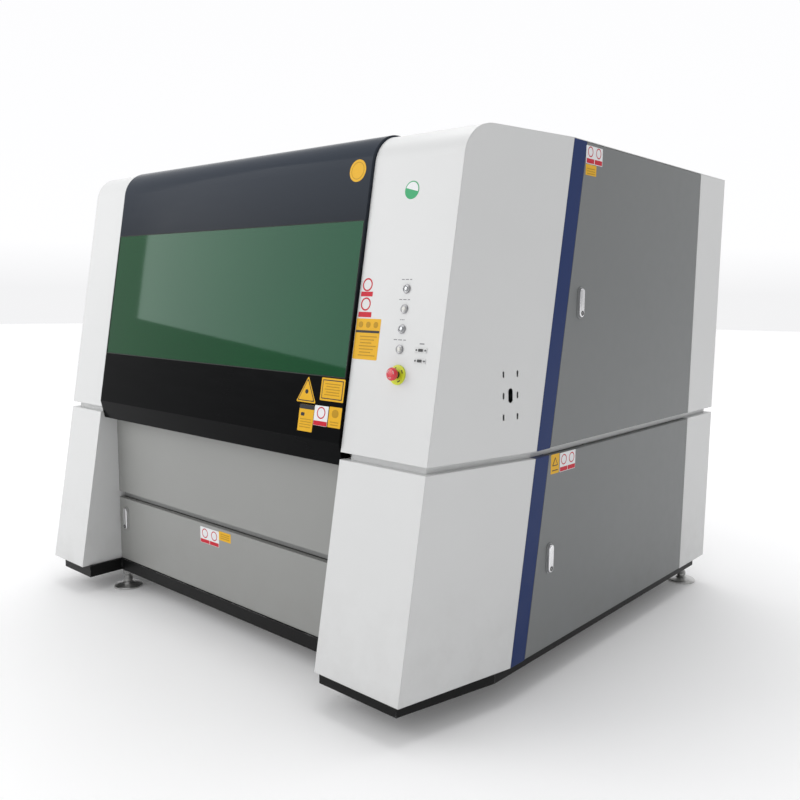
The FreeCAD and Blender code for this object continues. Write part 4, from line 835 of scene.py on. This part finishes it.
class CUTTER_OT_latches(CutterOperator, bpy.types.Operator):
    """Plated quarter-turn levers with rolled edges and a keyed barrel"""
    bl_idname = "cutter.latches"
    bl_label = "Detail latches"

    width = 0.027        # the lever's
    length = 0.096
    thickness = 0.009
    rim_gap = 0.0065     # how much wider and longer the rim is

    def place(self, node):
        """The frame under the lever, on the axis that it turns about."""
        low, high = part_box(node)
        x, y, z = (low.x + high.x) / 2, (low.y + high.y) / 2, high.z - self.length + self.width / 2
        if node.endswith("front"):
            return facing_front(x, low.y + self.thickness, z)
        if node.endswith("rear"):
            return facing_rear(x, high.y - self.thickness, z)
        if node.endswith("right"):
            return side_frame(high.x - self.thickness, y, z, 1)
        return side_frame(low.x + self.thickness, y, z, -1)

    def execute(self, context):
        chrome = plated("latch_chrome", self.colours.chrome, 0.16)
        dark = moulded("latch_key_black", (0.02, 0.02, 0.021), 0.4)
        grey = plated("latch_plate_steel", (0.45, 0.45, 0.46), 0.3)
        for name in ("upper_right", "lower_right", "upper_left", "lower_left", "front", "rear"):
            node = "latch_" + name
            dress(chrome, node)
            place = self.place(node)
            lever = pillow(stadium(self.width, self.length), place, 0.0, 0.0083, 0.0032)
            spindle = turned(place, [(0.0080, -0.0230), (0.0080, 0.0004)], 32)
            corners = [(-0.008, -0.034), (0.008, -0.034), (0.008, 0.008), (-0.008, 0.008)]
            cam = slab(rounded_outline(corners, 0.002), moved(place, out=-0.0230), 0.0, 0.0040, 0.0006)
            parts = [lever, spindle, cam]
            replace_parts(piece("lever_" + name, parts, chrome, node + "_body"), node)
            barrel = turned(place, [(0.0086, 0.0080), (0.0086, 0.0086), (0.0080, 0.0089), (0.0064, 0.0085)])
            piece("key_barrel_" + name, [barrel], dark, node + "_body")
            slot_mark = tile(moved(place, out=0.0085), 0.0016, 0.0080, 0.0003, 0.0005)
            piece("key_slot_" + name, [slot_mark], chrome, node + "_body")
            groove = stadium(self.width + self.rim_gap, self.length + self.rim_gap, 12)
            path = np.column_stack([groove, np.full(len(groove), -0.0013)])
            rim = sweep(placed(path, place), round_section(0.0010, 8), closed=True)
            piece("latch_rim_" + name, [rim], grey, "door_" + name + "_body")
        return {"FINISHED"}


class CUTTER_OT_labels(CutterOperator, bpy.types.Operator):
    """Plain coloured label fields, button captions as grey dashes, and round badges"""
    bl_idname = "cutter.labels"
    bl_label = "Add labels"

    def execute(self, context):
        c, s = self.colours, self.sizes
        colours = {"yellow": c.yellow, "red": c.red, "white": c.white, "green": c.green, "ink": c.ink,
                   "amber": scaled(c.yellow, 0.62), "grey": (0.22, 0.22, 0.23)}
        self.film = {key: printed_film("film_" + key, colour) for key, colour in colours.items()}
        self.column(s)
        self.hood(s)
        self.doors(s)
        return {"FINISHED"}

    def field(self, name, colour, tiles, body):
        """One piece from labels of one colour."""
        piece(name, tiles, self.film[colour], body)

    def column(self, s):
        """Labels on the right column's front face."""
        t = s.film
        hoops = [hoop(lean_frame(x, z, s), 0.0185, 0.0050, t, 0.0, 40, 6)
                 for x, z in ((0.710, 1.338), (0.7115, 1.278))]
        bands = [tile(lean_frame(x, z, s), width, height, t)
                 for x, z, width, height in ((0.711, 1.309, 0.050, 0.0150), (0.7125, 1.2455, 0.056, 0.0165))]
        self.field("column_rings", "red", hoops, "housing")
        self.field("column_red_fields", "red", bands, "housing")
        panel = lean_frame(0.733, 1.170, s)
        self.field("column_yellow_panel", "yellow", [tile(panel, 0.104, 0.128, t, 0.003)], "housing")
        rule = tile(moved(panel, up=0.0235), 0.100, 0.0075, t, 0.001, t)
        self.field("column_panel_rule", "ink", [rule], "housing")
        amber = [tile(moved(panel, right=dx, up=0.045), 0.019, 0.019, t, 0.0095, t)
                 for dx in (-0.032, 0.0, 0.032)]
        for i in range(7):
            line = moved(panel, up=0.008 - 0.0098 * i, right=0.006 - 0.004 * (i % 3))
            amber.append(tile(line, 0.072 - 0.012 * (i % 3), 0.0034, t, 0.001, t))
        self.field("column_panel_fields", "amber", amber, "housing")
        dashes = []
        for i, width in enumerate((0.050, 0.018, 0.044, 0.042)):
            place = lean_frame(s.button_x - 0.004, s.button_low + i * s.button_pitch + 0.028, s)
            for centre, length in ((-0.36, 0.26), (0.02, 0.30), (0.38, 0.20)):
                word = moved(place, right=centre * width)
                dashes.append(tile(word, length * width, 0.0026, t * 0.5, 0.0006))
        dashes.append(tile(lean_frame(0.958, 1.166, s), 0.018, 0.0035, t * 0.5, 0.0006))
        self.field("button_captions", "grey", dashes, "housing")
        badge = lean_frame(0.847, 1.622, s)
        self.field("badge_green", "green", [disc(badge, 0.028, t)], "housing")
        self.field("badge_white", "white", [self.half(badge, 0.0245, t)], "housing")

    def half(self, place, radius, film):
        """The upper part of a disc, cut by a slanted chord."""
        angle = np.linspace(-0.22, math.pi - 0.30, 32)
        outline = np.stack([np.cos(angle), np.sin(angle)], -1) * radius
        return slab(outline, place, film, film * 2, film * 0.3)

    def hood(self, s):
        """Labels on the hood's slope."""
        t = s.film

        def at(x, z):
            return lean_frame(x, z, s, s.hood_proud)

        outer = rounded_outline([(-0.047, -0.042), (0.047, -0.042), (0.0, 0.045)], 0.003, 5)
        middle = outer * 0.86 + (0.0, -0.0015)
        inner = outer * 0.76 + (0.0, -0.0025)
        place = at(0.503, 0.994)
        big = at(0.620, 1.0025)
        yellow = [
            slab(outer, place, 0.0, t, t * 0.3), slab(inner, place, 2 * t, 3 * t, t * 0.3),
            tile(big, 0.107, 0.074, t, 0.003), tile(moved(big, out=2 * t), 0.088, 0.056, t, 0.002),
            tile(at(0.512, 0.9025), 0.070, 0.088, t, 0.003), tile(at(0.645, 0.9175), 0.057, 0.066, t, 0.002),
        ]
        self.field("hood_yellow_fields", "yellow", yellow, "hood")
        ink = [
            slab(middle, place, t, 2 * t, t * 0.3), tile(moved(big, out=t), 0.094, 0.062, t, 0.002),
            tile(at(0.512, 0.9385), 0.069, 0.0145, t, 0.002, t),
            disc(moved(place, up=-0.006), 0.0075, t, 3 * t),
            tile(at(0.495, 0.914), 0.017, 0.011, t, 0.002, t),
        ]
        self.field("hood_dark_fields", "ink", ink, "hood")
        amber = []
        for i in range(5):
            line = moved(big, up=0.018 - 0.0088 * i, right=0.002 * (i % 2))
            amber.append(tile(line, 0.070 - 0.010 * (i % 2), 0.0030, t, 0.001, 3 * t))
        amber += self.lines(at, 0.512, 0.8985, 0.0085, 4, 0.054)
        amber += [
            tile(at(0.645, 0.9290), 0.030, 0.026, t, 0.013, t),
            tile(at(0.645, 0.9020), 0.038, 0.0034, t, 0.001, t),
            tile(at(0.645, 0.8935), 0.034, 0.0034, t, 0.001, t),
        ]
        self.field("hood_amber_fields", "amber", amber, "hood")
        pair = at(0.581, 0.9165)
        self.field("hood_white_field", "white", [tile(pair, 0.064, 0.065, t, 0.002)], "hood")
        red = [
            tile(moved(pair, up=-0.0245), 0.062, 0.0145, t, 0.001, t),
            hoop(moved(pair, up=0.0095), 0.0175, 0.0040, t, t, 40, 6),
        ]
        self.field("hood_red_fields", "red", red, "hood")
        badge = at(0.616, 1.697)
        self.field("hood_round_badge", "yellow", [disc(badge, 0.036, t)], "hood")
        self.field("hood_round_badge_ring", "amber", [hoop(badge, 0.027, 0.0022, t, t, 40, 6)], "hood")

    def lines(self, at, x, z, pitch, count, width):
        """Plain dashes one below the other, from z downwards."""
        t = self.sizes.film
        return [tile(at(x, z - pitch * i), width, 0.0028, t, 0.001, t) for i in range(count)]

    def pair(self, prefix, at, body, white, columns, band, ring):
        """A white field (x, z, width, height) with a red band (z, width, height) and a red ring
        (z, radius, thickness) in each of two columns."""
        t = self.sizes.film
        x, z, width, height = white
        self.field(prefix + "_white_field", "white", [tile(at(x, z), width, height, t, 0.002)], body)
        z, width, height = band
        red = [tile(at(x, z), width, height, t, 0.001, t) for x in columns]
        z, radius, thickness = ring
        red += [hoop(at(x, z), radius, thickness, t, t, 36, 6) for x in columns]
        self.field(prefix + "_red_fields", "red", red, body)

    def doors(self, s):
        """Labels on the right doors and on the front door."""
        t = s.film
        toe = columns_toe()
        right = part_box("door_upper_right")[1].x - 0.0025
        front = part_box("door_front")[0].y + 0.0025

        def side(y, z):
            return side_frame(right, toe + y, z)

        def ahead(x, z):
            return facing_front(x, front, z)

        body = "door_upper_right_body"
        self.pair("upper", side, body, (0.8595, 1.770, 0.111, 0.058), (0.8325, 0.887),
                  (1.7505, 0.050, 0.015), (1.780, 0.0155, 0.0036))
        self.field("upper_yellow_field", "yellow", [tile(side(0.8395, 1.7215), 0.071, 0.035, t, 0.002)], body)
        self.field("upper_amber_field", "amber", self.lines(side, 0.8395, 1.7255, 0.008, 3, 0.055), body)
        body = "door_lower_right_body"
        self.pair("lower", side, body, (0.756, 0.7555, 0.102, 0.065), (0.7305, 0.7815),
                  (0.7320, 0.048, 0.0145), (0.7640, 0.0160, 0.0036))
        self.field("lower_yellow_field", "yellow", [tile(side(0.674, 0.757), 0.052, 0.066, t, 0.002)], body)
        outline = rounded_outline([(-0.018, -0.014), (0.018, -0.014), (0.0, 0.016)], 0.002, 4)
        place = side(0.674, 0.764)
        ink = [slab(outline, place, t, 2 * t, t * 0.3), tile(side(0.674, 0.735), 0.036, 0.003, t, 0.001, t)]
        self.field("lower_ink_field", "ink", ink, body)
        inner = outline * 0.72 + (0, -0.0008)
        self.field("lower_yellow_top", "yellow", [slab(inner, place, 2 * t, 3 * t, t * 0.3)], body)
        body = "door_front_body"
        self.pair("front", ahead, body, (-0.1215, 0.357, 0.121, 0.064), (-0.1515, -0.0915),
                  (0.3335, 0.057, 0.0145), (0.3650, 0.0170, 0.0038))
        self.field("front_yellow_field", "yellow", [tile(ahead(-0.024, 0.375), 0.074, 0.036, t, 0.002)], body)
        self.field("front_amber_field", "amber", self.lines(ahead, -0.024, 0.383, 0.008, 3, 0.058), body)


class CUTTER_OT_fittings(CutterOperator, bpy.types.Operator):
    """Window seal, duct bead and screws, vent mesh, nozzle, hoses, rail screws and drag chain"""
    bl_idname = "cutter.fittings"
    bl_label = "Add fittings"

    def execute(self, context):
        self.window_seal(self.sizes, soft_rubber("seal_rubber"))
        self.rear(plated("screw_zinc", (0.58, 0.58, 0.57), 0.28))
        self.head()
        self.rails_and_chain()
        return {"FINISHED"}

    def window_seal(self, s, rubber):
        """A half-round bead laid in the gap round the window."""
        low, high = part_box("hood_window")
        gap = 0.0008
        bottom, top = 1.0440, 1.5372
        place = lean_frame((low.x + high.x) / 2, (bottom + top) / 2, s, s.hood_proud - 0.0006)
        reach = (high.x - low.x) / 2 + gap
        rise = (top - bottom) / 2 * math.sqrt(1 + s.lean ** 2) + gap
        outline = rounded_outline([(-reach, -rise), (reach, -rise), (reach, rise), (-reach, rise)], 0.004, 6)
        path = placed(np.column_stack([outline, np.zeros(len(outline))]), place)
        piece("window_seal", [sweep(path, round_section(0.0018, 8), closed=True)], rubber, "hood")

    def rear(self, zinc):
        """Bead on the duct spigot, screws round its flange and mesh behind the vents."""
        low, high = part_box("exhaust_spigot")
        centre_z = (low.z + high.z) / 2
        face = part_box("rear_panel")[1].y
        hub = facing_rear((low.x + high.x) / 2, face, centre_z)
        parts = [hoop(hub, 0.1000, 0.0035, 0.006, 0.052, 64, 8)]
        for a in (np.arange(8) + 0.5) * math.pi / 4:
            screw = moved(hub, 0.113 * math.cos(a), 0.113 * math.sin(a), 0.003)
            parts.append(dome(screw, 0.0045, 0.0026, 0.0, 18, 5))
        piece("spigot_bead_and_screws", parts, zinc, "housing")
        mesh = woven_mesh("vent_mesh")
        for i, z in enumerate((centre_z - 0.310, centre_z + 0.310)):
            backing = block((-0.170, face - 0.0060, z - 0.130), (0.170, face - 0.0030, z + 0.130), 0.0005)
            piece("vent_mesh_%d" % (i + 1), [backing], mesh, "housing")

    def head(self):
        """Copper nozzle, clamp bands and two hoses that arch back as half a sine."""
        low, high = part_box("cutting_head")
        axis_x, axis_y = (low.x + high.x) / 2, low.y + 0.035
        up = level_frame(axis_x, axis_y, low.z)
        profile = [(0.0042, 0.0), (0.0062, 0.0015), (0.0145, 0.0150), (0.0150, 0.0210), (0.0168, 0.0212),
                   (0.0168, 0.0300), (0.0158, 0.0310)]
        copper = plated("nozzle_copper", (0.72, 0.32, 0.17), 0.24)
        piece("nozzle", [turned(up, profile, 40)], copper, "cutting_head_body")
        bands = [hoop(moved(up, out=h), 0.0352, 0.0016, 0.006, 0.0, 48, 8) for h in (0.090, 0.150, 0.215)]
        piece("head_bands", bands, plated("head_band_steel", (0.5, 0.5, 0.51), 0.25), "cutting_head_body")
        t = np.linspace(0, 1, 24)
        hoses = []
        for dx, bulge in ((-0.012, 0.05), (0.012, 0.06)):
            x = axis_x + dx + 0.05 * t
            y = axis_y + 0.115 * t
            z = high.z - 0.004 + bulge * np.sin(math.pi * t) - 0.035 * t
            hoses.append(sweep(np.stack([x, y, z], -1), round_section(0.0055, 10)))
        piece("head_hoses", hoses, moulded("hose_black", (0.03, 0.03, 0.032), 0.4), "cutting_head_body")

    def rails_and_chain(self):
        """Caps on the rails' screws, and the drag chain's links on the beam."""
        low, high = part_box("y_rails")
        screws = []
        for x in (low.x + 0.010, high.x - 0.010):
            for y in np.arange(low.y + 0.03, high.y, 0.06):
                screws.append(disc(level_frame(x, y, high.z), 0.0042, 0.00015, 0.0, 14))
        piece("rail_screw_caps", screws, moulded("screw_cap_black", (0.02, 0.02, 0.02)), "housing")
        low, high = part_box("gantry_beam")
        front, rear = high.y - 0.045 - 0.045, high.y - 0.045 - 0.012
        links = [block((x, front, high.z + 0.0002), (x + 0.024, rear, high.z + 0.022))
                 for x in np.arange(low.x + 0.05, high.x - 0.05, 0.028)]
        piece("drag_chain", links, moulded("chain_black", (0.022, 0.022, 0.024), 0.5), "gantry_beam_body")


class CUTTER_OT_stage(CutterOperator, bpy.types.Operator):
    """Pale floor, camera and soft studio light"""
    bl_idname = "cutter.stage"
    bl_label = "Set stage"

    def execute(self, context):
        stage = context.scene.cutter_stage
        self.floor()
        self.camera(context, stage)
        self.sky(context, stage)
        self.softbox("key_softbox", (-4.2, -5.0, 4.0), (-0.1, -0.6, 0.9), 4.2, stage.key)
        self.softbox("fill_softbox", (5.8, -0.5, 2.6), (0.6, 0.0, 0.9), 3.2, stage.fill)
        self.softbox("top_softbox", (0.2, 0.6, 5.2), (0.0, 0.0, 0.8), 4.0, stage.top)
        context.scene.view_settings.view_transform = "Standard"
        return {"FINISHED"}

    def floor(self):
        """A round floor: radius grows over the rows of a polar grid."""
        level = level_frame(0.0, 0.0, CAD_BOX[0][2] - 0.0005)
        points, faces = turned(level, [(r, 0.0) for r in (30.0, 12.0, 5.0, 2.0)], 64)
        mesh = bpy.data.meshes.new("floor")
        mesh.from_pydata(points.tolist(), [], faces[:-2] + [faces[-1]])
        mesh.materials.append(seamless_floor("floor_paper"))
        floor = bpy.data.objects.new("floor", mesh)
        bpy.context.scene.collection.objects.link(floor)

    def camera(self, context, stage):
        """The camera's axes are worked out from its yaw, pitch and roll."""
        sy, cy = math.sin(stage.yaw), math.cos(stage.yaw)
        sp, cp = math.sin(stage.pitch), math.cos(stage.pitch)
        forward = np.array([-sy * cp, cy * cp, -sp])
        right = np.array([cy, sy, 0.0])
        up = np.cross(right, forward)
        sr, cr = math.sin(stage.roll), math.cos(stage.roll)
        across = right * cr + up * sr
        upright = up * cr - right * sr
        data = bpy.data.cameras.new("camera")
        data.sensor_width = 36.0
        data.lens = stage.lens
        data.clip_end = 200.0
        camera = bpy.data.objects.new("camera", data)
        axes = np.column_stack([across, upright, -forward, np.array(stage.camera)])
        camera.matrix_world = Matrix(np.vstack([axes, [0, 0, 0, 1]]).tolist())
        context.scene.collection.objects.link(camera)
        context.scene.camera = camera

    def sky(self, context, stage):
        """Surrounding light: brightest at the horizon, dimmer overhead and on the right."""
        world = bpy.data.worlds.new("studio")
        world.use_nodes = True
        tree = world.node_tree
        background = tree.nodes["Background"]
        place = tree.nodes.new("ShaderNodeTexCoord")
        split = tree.nodes.new("ShaderNodeSeparateXYZ")
        ramp = tree.nodes.new("ShaderNodeValToRGB")
        tree.links.new(place.outputs["Generated"], split.inputs[0])
        tree.links.new(split.outputs[2], ramp.inputs[0])
        tree.links.new(ramp.outputs[0], background.inputs["Color"])
        stops = ((0.0, 0.90), (0.05, 1.0), (0.36, 0.98), (0.64, 0.72), (1.0, 0.68))
        while len(ramp.color_ramp.elements) < len(stops):
            ramp.color_ramp.elements.new(1.0)
        for element, (position, level) in zip(ramp.color_ramp.elements, stops):
            element.position = position
            element.color = (level, level, level * 1.01, 1.0)
        side = tree.nodes.new("ShaderNodeMapRange")
        side.inputs["From Min"].default_value = 0.1
        side.inputs["From Max"].default_value = 0.7
        side.inputs["To Min"].default_value = stage.sky
        side.inputs["To Max"].default_value = stage.sky * stage.shade
        tree.links.new(split.outputs[0], side.inputs["Value"])
        tree.links.new(side.outputs[0], background.inputs["Strength"])
        context.scene.world = world

    def softbox(self, name, location, target, size, power):
        """A square area light that looks from its location at a target."""
        data = bpy.data.lights.new(name, "AREA")
        data.shape = "SQUARE"
        data.size = size
        data.energy = power
        lamp = bpy.data.objects.new(name, data)
        back = unit(np.subtract(location, target))
        across = unit(np.cross(UP, back))
        axes = np.column_stack([across, np.cross(back, across), back, np.array(location)])
        lamp.matrix_world = Matrix(np.vstack([axes, [0, 0, 0, 1]]).tolist())
        bpy.context.scene.collection.objects.link(lamp)


class CUTTER_PT_panel(bpy.types.Panel):
    """Sidebar panel with the machine's operators and settings"""
    bl_idname = "CUTTER_PT_panel"
    bl_label = "Laser Cutter"
    bl_space_type = "VIEW_3D"
    bl_region_type = "UI"
    bl_category = "Laser Cutter"

    def draw(self, context):
        for operator in OPERATORS:
            self.layout.operator(operator.bl_idname)
        for group in ("cutter_colours", "cutter_sizes", "cutter_stage"):
            settings = getattr(context.scene, group)
            column = self.layout.column()
            for key in type(settings).__annotations__:
                column.prop(settings, key)


GROUPS = {"cutter_colours": CutterColours, "cutter_sizes": CutterSizes, "cutter_stage": CutterStage}
OPERATORS = (
    CUTTER_OT_covers, CUTTER_OT_panels, CUTTER_OT_hood, CUTTER_OT_structure, CUTTER_OT_controls,
    CUTTER_OT_latches, CUTTER_OT_labels, CUTTER_OT_fittings, CUTTER_OT_stage,
)


def register():
    """Adds the settings, the operators and the panel."""
    for group in GROUPS.values():
        bpy.utils.register_class(group)
    for operator in OPERATORS:
        bpy.utils.register_class(operator)
    bpy.utils.register_class(CUTTER_PT_panel)
    for name, group in GROUPS.items():
        setattr(bpy.types.Scene, name, bpy.props.PointerProperty(type=group))


def unregister():
    """Takes out what register added."""
    for name in GROUPS:
        delattr(bpy.types.Scene, name)
    bpy.utils.unregister_class(CUTTER_PT_panel)
    for cls in reversed(tuple(GROUPS.values()) + OPERATORS):
        bpy.utils.unregister_class(cls)


def main():
    """Builds the visual model in the operators' order."""
    register()
    bpy.ops.cutter.covers()
    bpy.ops.cutter.panels()
    bpy.ops.cutter.hood()
    bpy.ops.cutter.structure()
    bpy.ops.cutter.controls()
    bpy.ops.cutter.latches()
    bpy.ops.cutter.labels()
    bpy.ops.cutter.fittings()
    bpy.ops.cutter.stage()


if __name__ == "__main__":
    main()
